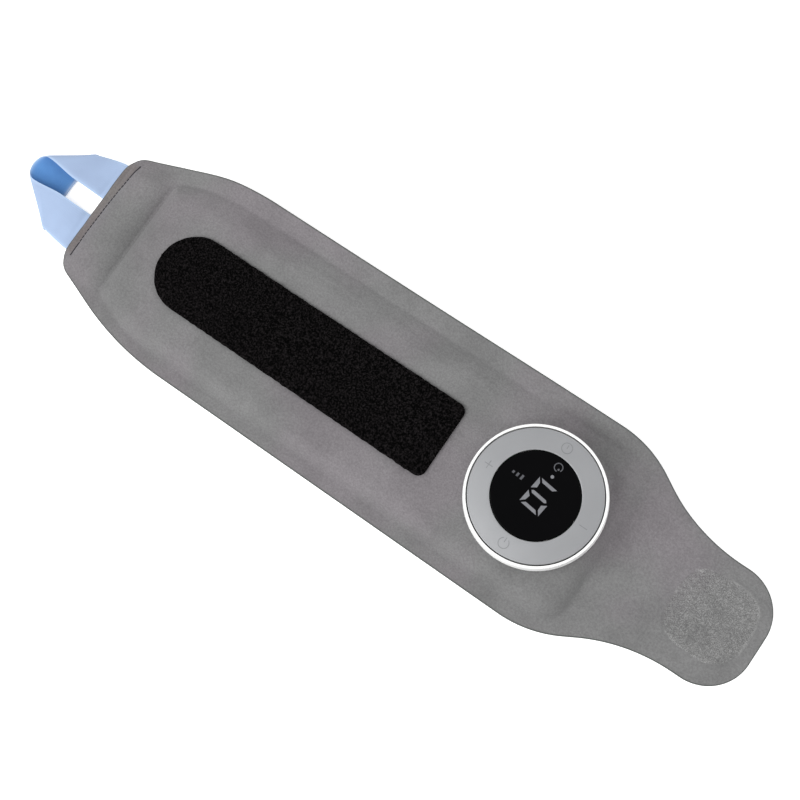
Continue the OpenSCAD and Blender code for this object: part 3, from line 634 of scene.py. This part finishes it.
def thread_line():
    """The seam's stitches: short arches of thread that dive into the sheet at both ends."""
    thread_r, half_stitch = 0.34, 0.93
    half_line = LEG_GAP / 2 + BAND_W + 1.9
    pitch, tack, tacks = 2.0, 0.85, 7  # plain stitches, and closer ones that tack each end
    inner = int((half_line - tacks * tack) / pitch)
    stitches = [i * pitch for i in range(-inner, inner + 1)]
    stitches += [s * (inner * pitch + k * tack) for s in (-1, 1) for k in range(1, tacks + 1)]
    t = np.linspace(-1, 1, 9)
    a = np.linspace(0, TURN, 8, endpoint=False)
    size = (thread_r * np.sqrt(np.maximum(1 - t ** 8, 0.08)))[:, None]
    stacks = []
    for y in sorted(stitches):
        yy = SEAM_Y + y + t * half_stitch
        xx = seam_x(yy)
        zz = relief(xx, yy) + 0.12 - 0.42 * t ** 6
        stacks.append(np.stack([xx[:, None] + size * np.cos(a), np.repeat(yy[:, None], len(a), 1),
                                zz[:, None] + size * np.sin(a)], -1))
    return tubes("seam_thread", stacks)

# ---------- hook disc ----------

def hook_disc():
    """Hook fastener on the skin side: a thin backing with rows of small bent hooks pointing down.

    The outline is a superellipse: the powers of x and y over half the width add up to 1.
    """
    half, power = DISC_W / 2, 3.2
    base_z, top_z, pitch, hook_r = 0.45, 0.9, 1.7, 0.1
    a = np.linspace(0, TURN, 96, endpoint=False)
    r = half * (np.abs(np.cos(a)) ** power + np.abs(np.sin(a)) ** power) ** (-1 / power)
    x, y = DISC_X + r * np.cos(a), r * np.sin(a)
    stacks = [np.stack([np.stack([x, y, np.full(96, z)], -1) for z in (base_z, top_z)])]
    # a hook's bent path: how far it leans, and its height
    lean, height = np.array([[0, 0, 0.1, 0.3, 0.42], [0.47, 0.3, 0.16, 0.12, 0.2]])[:, :, None]
    ring = np.linspace(0, TURN, 4, endpoint=False)
    across = np.arange(-half + 1.4, half - 1.3, pitch)
    for i, px in enumerate(across):
        for j, py in enumerate(across):
            if abs(px / half) ** power + abs(py / half) ** power > 0.82:
                continue
            turn = 1 if (i + j) % 2 else -1
            stacks.append(np.stack(np.broadcast_arrays(
                DISC_X + px + turn * lean + hook_r * np.cos(ring), py + hook_r * np.sin(ring), height), -1))
    return tubes("hook_disc_tape", stacks, smooth=False)

# ---------- controller ----------

RIM_Z = edge("housing", 2, 1)
WIDE_Z = PAD_Z + 6  # the housing is widest here
BASE_R = HOUSING_R - 3.5
WALL = 1.8
RING_R = edge("control_ring", 0, 1)
RING_TOP = edge("control_ring", 2, 1)
LENS_R = edge("display_lens", 0, 1)
LENS_Z0, LENS_Z1 = edge("display_lens", 2, 0), edge("display_lens", 2, 1)
LENS_FALL = 0.1


def housing_out(z):
    """Outer radius of the housing: fullest at WIDE_Z, drawn in to the base and the rim."""
    low = HOUSING_R - (HOUSING_R - BASE_R) * np.clip((WIDE_Z - z) / (WIDE_Z - PAD_Z), 0, 1) ** 2.2
    high = HOUSING_R - 0.75 * np.clip((z - WIDE_Z) / (RIM_Z - WIDE_Z), 0, 1) ** 1.6
    return np.where(z < WIDE_Z, low, high)


def cut(made, cutter):
    """Takes cutter out of made with an exact boolean, applies it and removes the cutter."""
    work = made.modifiers.new("cut", "BOOLEAN")
    work.operation, work.solver, work.object = "DIFFERENCE", "EXACT", cutter
    graph = bpy.context.evaluated_depsgraph_get()
    done = bpy.data.meshes.new_from_object(made.evaluated_get(graph))
    made.modifiers.clear()
    made.data = done
    bpy.data.objects.remove(cutter)


def socket_mouth():
    """A bar along Y through the wall at the charging socket, whose section is a stadium."""
    low, high = (np.array(corner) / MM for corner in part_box("usb_socket"))
    w, h = high[0] - low[0] + 0.2, high[2] - low[2] + 0.2
    a = np.radians(np.linspace(0, 360, 48, endpoint=False))
    x = (low[0] + high[0]) / 2 + np.sign(np.cos(a)) * (w - h) / 2 + h / 2 * np.cos(a)
    z = (low[2] + high[2]) / 2 + h / 2 * np.sin(a)
    return tubes("mouth", [np.stack([np.stack([x, np.full(48, high[1] + 1 + s), z], -1) for s in (-6, 6)])])


def housing_shell():
    """The white housing as a turned shell with a rounded rim, its socket mouth cut through the wall."""
    rim_round, lip_round, foot_round = 0.6, 0.25, 0.5
    top, base, bore = RIM_Z - rim_round, PAD_Z + foot_round, RING_R + 0.4
    z = np.linspace(base, top, 26)
    outer = np.stack([housing_out(z), z], -1).tolist()
    foot = arc(outer[0][0] - foot_round, base, foot_round, -80, -10, 4)
    rim = arc(outer[-1][0] - rim_round, top, rim_round, 15, 90, 6)
    lip = arc(bore + lip_round, RIM_Z - lip_round, lip_round, 90, 180, 4)
    inner = [[bore, WIDE_Z + 3], [HOUSING_R - WALL, WIDE_Z], [BASE_R - WALL, PAD_Z + WALL], [4, PAD_Z + WALL]]
    made = lathe("housing_white", [[4, PAD_Z + 0.02]] + foot + outer + rim + lip + inner, 240, 180)
    cut(made, socket_mouth())
    smooth_by_angle(made, 40)
    return made


def ring_crown(r):
    """Height of the silver ring's top: it falls away outwards, ever faster, like an upturned dish."""
    return RING_TOP - 0.65 * np.clip((r - LENS_R) / (RING_R - LENS_R), 0, 1) ** 1.4


def key_ring():
    """The silver ring: a shallow crown between two bevels, with a skirt below."""
    inner, under, skirt = LENS_R + 0.3, RING_TOP - 1.3, 0.8
    r = np.linspace(inner + 0.35, RING_R - 0.45, 16)
    crown = np.stack([r, ring_crown(r)], -1).tolist()
    profile = ([[inner, under], [inner, RING_TOP - 0.62]]
               + arc(inner + 0.3, crown[0][1] - 0.3, 0.3, 180, 100, 4) + crown
               + arc(RING_R - 0.4, crown[-1][1] - 0.4, 0.4, 80, 0, 5)
               + [[RING_R, under - 2], [RING_R - skirt, under - 2], [RING_R - skirt, under]])
    return lathe("key_ring_silver", profile, 240, 30)


def lens_top(r):
    """Height of the lens: it falls off outwards as a shallow parabola."""
    return LENS_Z1 - LENS_FALL * (r / LENS_R) ** 2


def lens():
    """The black lens: almost flat, with a fine bevel round its edge."""
    bevel = 0.3
    top = [[r, lens_top(r)] for r in np.linspace(0, LENS_R - bevel, 10)[1:]]
    side = arc(LENS_R - bevel, LENS_Z1 - LENS_FALL - bevel, bevel, 70, 0, 4)
    return lathe("lens_black", [[0.01, LENS_Z1]] + top + side + [[LENS_R, LENS_Z0], [0.01, LENS_Z0]], 180, 40)


def prism(name, outlines, under, thick):
    """Upright prisms from closed outlines round the controller's axis, all in one mesh.

    Their undersides lie on the surface under(r), r millimetres from the axis.
    """
    stacks = []
    for outline in outlines:
        x, y = np.asarray(outline, float).T
        z = under(np.hypot(x, y))
        stacks.append(np.stack([np.stack([x, y + CTRL_Y, z + rise], -1) for rise in (0, thick)]))
    return tubes(name, stacks, smooth=False)


def disc_outline(cx, cy, r, count=32):
    """Points evenly round a circle."""
    a = np.linspace(0, TURN, count, endpoint=False)
    return np.stack([cx + r * np.cos(a), cy + r * np.sin(a)], -1)


def ring_outline(cx, cy, r0, r1, gap=1, start=90):
    """A ring as one closed outline, open by gap degrees centred on start."""
    a = np.radians(np.linspace(start + gap / 2, start + 360 - gap / 2, 48))
    return np.concatenate([np.stack([cx + r * np.cos(b), cy + r * np.sin(b)], -1)
                           for r, b in ((r1, a), (r0, a[::-1]))])


def display_figure():
    """The figure six in mitred bars, turned a little on the lens, with a dot; a ring and three small bars."""
    turn = math.radians(-7.5)
    w, h, t = 5.1, 6.65, 1.45  # half width, half height and thickness of its bars
    sunk, thick = 0.06, 0.09

    def place(points):
        x, y = np.asarray(points, float).T
        return np.stack([1.45 + x * math.cos(turn) - y * math.sin(turn),
                         0.4 + x * math.sin(turn) + y * math.cos(turn)], -1)

    def on_lens(r):
        return lens_top(r) - sunk

    half = w - 1.0
    level = np.array([[-half, h], [half, h], [half - t, h - t], [-half + t, h - t]])
    centre = [[-half, 0.1], [-half + 0.8, t / 2], [half - 0.9, t / 2], [half, -0.1],
              [half - 0.8, -t / 2], [-half + 0.9, -t / 2]]
    upright = np.array([[-w, h - 0.2], [-w, 0.65], [-w + 2.0, 2.3], [-w + 1.7, h - 2.1]])
    bars = [level, centre, level * [1, -1], upright, upright * [1, -1], upright * [-1, -1]]
    made = prism("figure_six", [place(b) for b in bars] + [disc_outline(1.5, 10.3, 0.75)], on_lens, thick)
    dim = [ring_outline(1.5, 15.0, 1.55, 2.0, 50, -60), disc_outline(2.0, 14.2, 0.45, 16)]
    for k in range(3):
        x, y = -15.2 + 2.1 * k, 1.5 + 0.5 * k
        dim.append(place([[x, 0.3], [x + 1, 0.3], [x + 1, y], [x, y]]))
    marks = prism("display_signs", dim, on_lens, thick)
    return made, marks


def key_signs():
    """Faint signs on the ring: plus, minus, power and mode, each lying on the crown."""
    r = (RING_R + LENS_R) / 2
    line, arm, round_r = 0.34, 1.9, 2.1
    half = line / 2

    def bar(cx, cy, w, h):
        return [[cx + s * w / 2, cy + t * h / 2] for s, t in ((-1, -1), (1, -1), (1, 1), (-1, 1))]

    quarter = np.array([[-half, -arm], [half, -arm], [half, -half]])
    spin = np.array([[0, 1], [-1, 0]])
    plus = np.concatenate([quarter @ np.linalg.matrix_power(spin, k) for k in range(4)])
    outlines = [plus + [-r + 0.4, 0], bar(r - 0.4, 0, 2 * arm, line),
                ring_outline(0, -r, round_r, round_r + line, 60, 90), bar(0, -r + 1.5, line, 2.2),
                ring_outline(0, r, round_r, round_r + line), bar(0, r + 0.6, line, 1.7)]
    return prism("key_signs", outlines, lambda s: ring_crown(s) - 0.04, 0.055)

# ---------- materials ----------

SMOOTH = {"interpolation_type": "SMOOTHSTEP"}
COLOUR = {"data_type": "RGBA"}


def suede():
    """Suede-like polyester laminate, brushed: a short matt nap in soft patches, its heat-cut edge darker, with
    painted shade of the gap beneath that edge.
    """
    made, tree = new_material("brushed_polyester_suede", {
        "Roughness": 0.95, "Sheen Weight": 0.15, "Sheen Roughness": 0.5, "Specular IOR Level": 0.2})
    spot = add(tree, "TexCoord").outputs["Object"]
    cloud = add(tree, "TexNoise", {"Vector": spot, "Scale": 42, "Detail": 5, "Roughness": 0.6})
    # hue patches some 60 mm across, from a warm grey to a cool one
    hue = add(tree, "TexNoise", {"Vector": spot, "Scale": 16})
    # nap drawn at 0.9 mm so that it shows
    nap = add(tree, "TexNoise", {"Vector": spot, "Scale": 1100, "Detail": 4, "Roughness": 0.75})
    cool, patchy, napped = (
        add(tree, "MapRange", {"Value": noise, "From Min": low, "From Max": high}, **SMOOTH)
        for noise, low, high in ((hue, 0.4, 0.6), (cloud, 0.35, 0.72), (nap, 0.3, 0.7)))
    inside, marks, tips = weld_pattern(tree, spot)
    hem, cut_edge_and_shade = (add(tree, "Attribute", attribute_name=name).outputs["Fac"]
                     for name in ("hem", "cut_edge_and_shade"))
    colour = add(tree, "Mix", {"Factor": cool, 6: "#848083", 7: "#808080"}, **COLOUR)
    # outside the seam the two sheets are pressed into one, warmer and flatter in tone; the dark line at the cut
    # edge is partly the edge's own tone and partly painted shade of the gap beneath it
    for where, layer, how in ((patchy, "#ececec", "MULTIPLY"), (napped, "#dddddd", "MULTIPLY"),
                              (inside, "#ebebeb", "MULTIPLY"), (tips, "#adadac", "MIX"),
                              (hem, "#f2ece7", "MULTIPLY"), (cut_edge_and_shade, "#3f4541", "MIX")):
        colour = add(tree, "Mix", {"Factor": where, 6: colour, 7: layer}, blend_type=how, **COLOUR)
    height = add(tree, "Math", {0: marks, 1: 3.6, 2: nap}, operation="MULTIPLY_ADD")
    return dressed(made, colour, height, strength=0.5, depth=0.00025)


def weld_pattern(tree, spot):
    """What the hook disc's weld leaves on the tab: its area, curled marks 1 mm across, and their light tips.

    The area is a superellipse: the sum of the cubes of x and y over its half size is below 1.
    """
    centre = add(tree, "Mapping", {"Vector": spot, "Location": (-DISC_X * MM, -DISC_Y * MM, 0)})
    axes = add(tree, "SeparateXYZ", {"Vector": centre})
    cubes = []
    for name in "XY":
        size = add(tree, "Math", {0: axes.outputs[name]}, operation="ABSOLUTE")
        share = add(tree, "Math", {0: size, 1: 1 / (17.6 * MM)}, operation="MULTIPLY")
        cubes.append(add(tree, "Math", {0: share, 1: 3.0}, operation="POWER"))
    total = add(tree, "Math", {0: cubes[0], 1: cubes[1]}, operation="ADD")
    curls = add(tree, "TexNoise", {"Vector": spot, "Scale": 860, "Detail": 1, "Distortion": 1.8})
    folded = add(tree, "Math", {0: curls, 1: 0.16}, operation="PINGPONG")
    patch = add(tree, "TexNoise", {"Vector": spot, "Scale": 110})
    inside, from_edge, to_edge, worm, torn, thinned = (
        add(tree, "MapRange", {"Value": value, "From Min": low, "From Max": high}, **SMOOTH)
        for value, low, high in ((total, 1.05, 0.85), (total, 0.86, 0.97), (total, 1.12, 1.0),
                                 (folded, 0.05, 0.13), (patch, 0.38, 0.62), (patch, -0.6, 0.8)))
    marks = add(tree, "Math", {0: inside, 1: worm}, operation="MULTIPLY")
    # a broken light line where the disc's edge was pressed in, and worn tips in patches
    band = add(tree, "Math", {0: from_edge, 1: to_edge}, operation="MULTIPLY")
    frayed = add(tree, "Math", {0: worm, 1: torn}, operation="MULTIPLY")
    worn = add(tree, "Math", {0: marks, 1: thinned}, operation="MULTIPLY")
    both = add(tree, "Math", {0: band, 1: frayed, 2: worn}, operation="MULTIPLY_ADD")
    tips = add(tree, "Math", {0: both, 1: 0.5}, operation="MULTIPLY", use_clamp=True)
    return inside, marks, tips


def lining():
    """Brushed tricot lining: fine wales a millimetre apart under a soft nap."""
    made, tree = new_material("brushed_tricot_lining", {"Roughness": 0.95, "Sheen Weight": 0.3})
    spot = add(tree, "TexCoord").outputs["Object"]
    wale = add(tree, "TexWave", {"Vector": spot, "Scale": 160, "Distortion": 1.5, "Detail Scale": 3},
               bands_direction="Y").outputs["Fac"]
    nap = add(tree, "TexNoise", {"Vector": spot, "Scale": 1200, "Detail": 4})
    tone = add(tree, "Mix", {"Factor": nap, 6: "#686366", 7: "#7d787b"}, **COLOUR)
    height = add(tree, "Math", {0: wale, 1: 0.6, 2: nap}, operation="MULTIPLY_ADD")
    return dressed(made, tone, height, strength=0.5, depth=0.0002)


def loop_pile():
    """Black nylon loop pile: dense tiny loops, drawn at 0.8 mm so that they show."""
    made, tree = new_material("nylon_loop_pile", {"Roughness": 0.95, "Specular IOR Level": 0.02})
    spot = add(tree, "TexCoord").outputs["Object"]
    cells = add(tree, "TexVoronoi", {"Vector": spot, "Scale": 1250})
    tufts = add(tree, "TexNoise", {"Vector": spot, "Scale": 1200, "Detail": 3, "Roughness": 0.7})
    tone = add(tree, "ValToRGB", {"Fac": tufts})
    for stop, place, shade in zip(tone.color_ramp.elements, (0.46, 0.70), ("#020202", "#252223")):
        stop.position, stop.color = place, linear(shade)
    height = add(tree, "Math", {0: cells, 1: -0.8, 2: tufts}, operation="MULTIPLY_ADD")
    return dressed(made, tone, height, strength=0.9, depth=0.0006)


def elastic():
    """Woven elastic: pale blue outside, deep blue inside, ribs along its length, and a painted highlight along
    its rims.
    """
    made, tree = new_material("woven_elastic_blue", {"Roughness": 0.75, "Sheen Weight": 0.2})
    outer, rim = (add(tree, "Attribute", attribute_name=name).outputs["Fac"]
                  for name in ("outer_face", "rim"))
    axes = add(tree, "SeparateXYZ", {"Vector": add(tree, "UVMap", uv_map="UVMap")})
    # weft threads 0.7 mm apart along the band, and ribs 1 mm apart across it
    threads = []
    for name, pitch in (("X", 0.7), ("Y", 1.0)):
        phase = add(tree, "Math", {0: axes.outputs[name], 1: TURN / pitch}, operation="MULTIPLY")
        threads.append(add(tree, "Math", {0: phase}, operation="SINE"))
    spot = add(tree, "TexCoord").outputs["Object"]
    cloud = add(tree, "TexNoise", {"Vector": spot, "Scale": 90})
    deep, pale = (add(tree, "Mix", {"Factor": cloud, 6: low, 7: high}, **COLOUR)
                  for low, high in (("#3669a9", "#5993ce"), ("#93a5c4", "#a2b7d6")))
    face = add(tree, "Mix", {"Factor": outer, 6: deep, 7: pale}, **COLOUR)
    # painted highlight: the band's rims are drawn lighter, in place of light catching its edges
    colour = add(tree, "Mix", {"Factor": rim, 6: face, 7: "#b0c8e6"}, **COLOUR)
    weave = add(tree, "Math", {0: threads[0], 1: 0.4, 2: threads[1]}, operation="MULTIPLY_ADD")
    return dressed(made, colour, weave, strength=0.15, depth=0.0001)


def grained(name, light, dark, roughness, metallic=0.0, scale=900, strength=0.1, depth=0.00005):
    """A surface whose colour and height vary with one noise of the given grain."""
    made, tree = new_material(name, {"Roughness": roughness, "Metallic": metallic})
    spot = add(tree, "TexCoord").outputs["Object"]
    grain = add(tree, "TexNoise", {"Vector": spot, "Scale": scale, "Detail": 4})
    tone = add(tree, "ValToRGB", {"Fac": grain})
    for stop, place, shade in zip(tone.color_ramp.elements, (0.35, 0.7), (dark, light)):
        stop.position, stop.color = place, linear(shade)
    return dressed(made, tone, grain, strength, depth)


def satin_aluminium():
    """Satin anodised aluminium: turned, so fine circular lines spread the light round the ring."""
    made, tree = new_material("satin_anodised_aluminium", {"Metallic": 0.8, "Roughness": 0.5})
    spot = add(tree, "TexCoord").outputs["Object"]
    centre = add(tree, "Mapping", {"Vector": spot, "Location": (0, -CTRL_Y * MM, 0)})
    axes = add(tree, "SeparateXYZ", {"Vector": centre})
    flat = add(tree, "CombineXYZ", {name: axes.outputs[name] for name in "XY"})
    radius = add(tree, "VectorMath", {0: flat}, operation="LENGTH")
    # turning lines 0.15 mm apart
    phase = add(tree, "Math", {0: radius, 1: TURN / (0.15 * MM)}, operation="MULTIPLY")
    lines = add(tree, "Math", {0: phase}, operation="SINE")
    cloud = add(tree, "TexNoise", {"Vector": spot, "Scale": 60, "Detail": 3})
    tone = add(tree, "Mix", {"Factor": cloud, 6: "#898a8c", 7: "#929395"}, **COLOUR)
    return dressed(made, tone, lines, strength=0.04, depth=0.00002)


# each row of looks: name, light and dark colour, roughness, metallic, grain, strength and depth of the bump
MATERIALS = {
    "suede": suede(), "lining": lining(), "pile": loop_pile(), "elastic": elastic(),
    "aluminium": satin_aluminium(),
    # polyester thread, twisted: matt and nearly black
    "thread": grained("twisted_polyester_thread", "#2a2730", "#141218", 0.7, 0, 1800, 0.5, 0.0001),
    # moulded ABS with a fine spark-eroded grain: semi-gloss white
    "white_abs": grained("moulded_white_abs", "#f9f9f8", "#f5f5f4", 0.38, 0, 900, 0.05),
    # hard-coated black acrylic: mirror-smooth
    "acrylic": grained("tinted_black_acrylic", "#040405", "#030304", 0.08, 0, 40, 0.0),
    # milky diffuser behind the tinted lens: grey, as if barely lit
    "lit_bar": grained("milky_diffuser_film", "#747579", "#67686d", 0.5, 0, 500, 0.02),
    "dim_sign": grained("printed_grey_film", "#4a4b50", "#3c3d42", 0.5, 0, 500, 0.02),
    # signs laser-etched in the anodised ring: slightly darker and rougher than the ring
    "etched": grained("laser_etched_aluminium", "#7e7f81", "#747578", 0.6, 0.5),
    # hooks moulded in nylon: dark, slightly translucent in life, matt here
    "nylon_hook": grained("moulded_nylon_hook", "#3b3b3f", "#2c2c30", 0.5),
}
feed(MATERIALS["acrylic"].node_tree.nodes["Principled BSDF"], {"IOR": 1.49, "Specular IOR Level": 0.04})

# the solids that show as the frame has them, each row after its nodes
CAD_FINISH = (
    ("foam_pad", "open_cell_polyether_foam", "#ded9c6", "#b9b39c", 0.95, 0, 1500, 0.8, 0.0003),
    ("gel_pack", "blue_gel_in_nylon_film", "#6fa6d6", "#5a93c8", 0.2, 0, 120, 0.2, 0.0003),
    ("heating_film", "amber_polyimide_film", "#c98b2c", "#b87a20", 0.3, 0, 90, 0.05),
    ("heater_trace", "etched_copper_nickel_foil", "#b9ada0", "#a39686", 0.4, 1),
    ("temp_sensor", "green_epoxy_bead", "#2f4f3a", "#263f2f", 0.35, 0, 500),
    ("heater_lead", "black_silicone_sleeve", "#242424", "#1b1b1b", 0.6, 0, 1200),
    ("lead_plug", "moulded_natural_nylon", "#ebe5d6", "#ddd6c5", 0.5),
    ("clamp_plate board_header switch_bodies", "moulded_grey_abs", "#3c3c3f", "#333336", 0.6, 0, 900, 0.15),
    ("gimbal_ring plunger_plus plunger_minus plunger_power plunger_mode",
     "moulded_acetal", "#92959a", "#86898e", 0.45, 0, 900, 0.08),
    ("chassis display_mask", "moulded_light_abs", "#e8e8e4", "#dcdcd8", 0.55),
    ("clamp_screws chassis_screws", "zinc_plated_steel", "#c3c6c9", "#a9acb0", 0.35, 1, 600),
    ("display_board main_board", "green_glass_epoxy_board", "#1f6b3a", "#185a30", 0.4, 0, 1500),
    ("battery", "aluminium_laminate_pouch", "#c8cbcf", "#b2b5ba", 0.4, 0.8, 150, 0.2, 0.0002),
    ("usb_socket", "stamped_stainless_steel", "#b7b9bc", "#a6a8ab", 0.3, 1, 800, 0.05),
)

# ---------- camera, light and floor ----------

CAMERA_PLACE = (22.90, -37.69, 490.49)  # millimetres
CAMERA_RIGHT = (0.81615, 0.56664, -0.1130)
CAMERA_UP = (-0.54425, 0.81962, 0.1789)
CAMERA_LENS, SENSOR = 50.52, 36.0
FLOOR_HALF, FLOOR_GLOW, SKY = 3.0, 0.55, 0.5


def make_camera():
    """The camera at the photograph's viewpoint: turned to lay the belt corner to corner."""
    right = Vector(CAMERA_RIGHT).normalized()
    back = right.cross(Vector(CAMERA_UP)).normalized()
    data = bpy.data.cameras.new("camera")
    data.lens, data.sensor_width, data.clip_start = CAMERA_LENS, SENSOR, 0.01
    made = placed("camera", data)
    turn = Matrix((right, back.cross(right), back)).transposed().to_4x4()
    made.matrix_world = Matrix.Translation(Vector(CAMERA_PLACE) * MM) @ turn
    bpy.context.scene.camera = made


def area_light(name, place, target, size, power):
    """A round soft lamp at one place, in metres, that faces another."""
    data = bpy.data.lights.new(name, "AREA")
    data.shape, data.size, data.energy = "DISK", size, power
    made = placed(name, data)
    made.location = place
    made.rotation_mode = "QUATERNION"
    made.rotation_quaternion = (Vector(target) - Vector(place)).to_track_quat("-Z", "Y")


def white_to_camera(tree):
    """1 where a camera, glossy or transmission ray meets this surface, 0 for light that bounces off it."""
    rays = add(tree, "LightPath").outputs
    first = add(tree, "Math", {0: rays["Is Camera Ray"], 1: rays["Is Glossy Ray"]}, operation="MAXIMUM")
    return add(tree, "Math", {0: first, 1: rays["Is Transmission Ray"]}, operation="MAXIMUM")


def make_stage():
    """A pale floor whose lit parts read white to the camera, under a soft white sky."""
    corners = [(s * FLOOR_HALF, t * FLOOR_HALF, 0) for s, t in ((-1, -1), (1, -1), (1, 1), (-1, 1))]
    mesh = bpy.data.meshes.new("floor")
    mesh.from_pydata(corners, [], [(0, 1, 2, 3)])
    floor = placed("floor", mesh)
    floor.location = (0, 0, -0.0002)
    made, tree = new_material("matt_white_paper", {"Roughness": 0.9, "Base Color": "#f4f4f4"})
    glow = add(tree, "Math", {0: white_to_camera(tree), 1: FLOOR_GLOW}, operation="MULTIPLY")
    feed(tree.nodes["Principled BSDF"], {"Emission Color": "#ffffff", "Emission Strength": glow})
    mesh.materials.append(made)
    world = bpy.data.worlds.new("sky")
    bpy.context.scene.world = world
    world.use_nodes = True
    sky = world.node_tree
    strength = add(sky, "MapRange", {"Value": white_to_camera(sky), "To Min": SKY, "To Max": 1.0})
    feed(sky.nodes["Background"], {"Color": "#ffffff", "Strength": strength})


make_camera()
make_stage()
area_light("key", (-0.5, -0.7, 0.9), (-0.07, 0, 0), 1.2, 15)
area_light("fill", (0.6, 0.7, 0.5), (-0.03, 0, 0), 1.3, 5.5)
bpy.context.scene.view_settings.view_transform = "Standard"

# ---------- assembly ----------

def finish_piece(made, material, slot, *replaced):
    """Gives a new piece its material and hides the nodes that it stands for; slot is not used."""
    made.data.materials.clear()
    made.data.materials.append(MATERIALS[material])
    if replaced:
        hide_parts(*replaced)
    return made


FRONT = finish_piece(front_sheet(), "suede", "cover_fabric", "front_cover", "front_tail")
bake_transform(FRONT)

BACK = finish_piece(back_sheet(), "lining", "lining_fabric", "back_cover", "back_tail")
flat_area() * MM ** 2
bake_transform(BACK)

STRAP = finish_piece(strap_band(), "elastic", "elastic_band", "strap_loop", "strap_tongues")
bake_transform(STRAP)

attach(finish_piece(loop_patch(), "pile", "loop_tape", "loop_patch"), "belt")
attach(finish_piece(thread_line(), "thread", "thread", "end_stitches"), "belt")
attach(finish_piece(hook_disc(), "nylon_hook", "hook_tape", "hook_disc"), "tab")
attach(finish_piece(housing_shell(), "white_abs", "white_shell", "housing"), "belt")
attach(finish_piece(key_ring(), "aluminium", "silver_ring", "control_ring"), "key_ring")
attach(finish_piece(lens(), "acrylic", "black_lens", "display_lens"), "belt")
FIGURE, SIGNS = display_figure()
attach(finish_piece(FIGURE, "lit_bar", "diffuser", "digit_segments"), "belt")
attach(finish_piece(SIGNS, "dim_sign", "diffuser"), "belt")
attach(finish_piece(key_signs(), "etched", "silver_ring"), "key_ring")

for names, *look in CAD_FINISH:
    finish = grained(*look)
    for name in names.split():
        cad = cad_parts[name]
        cad.data.materials.clear()
        cad.data.materials.append(finish)
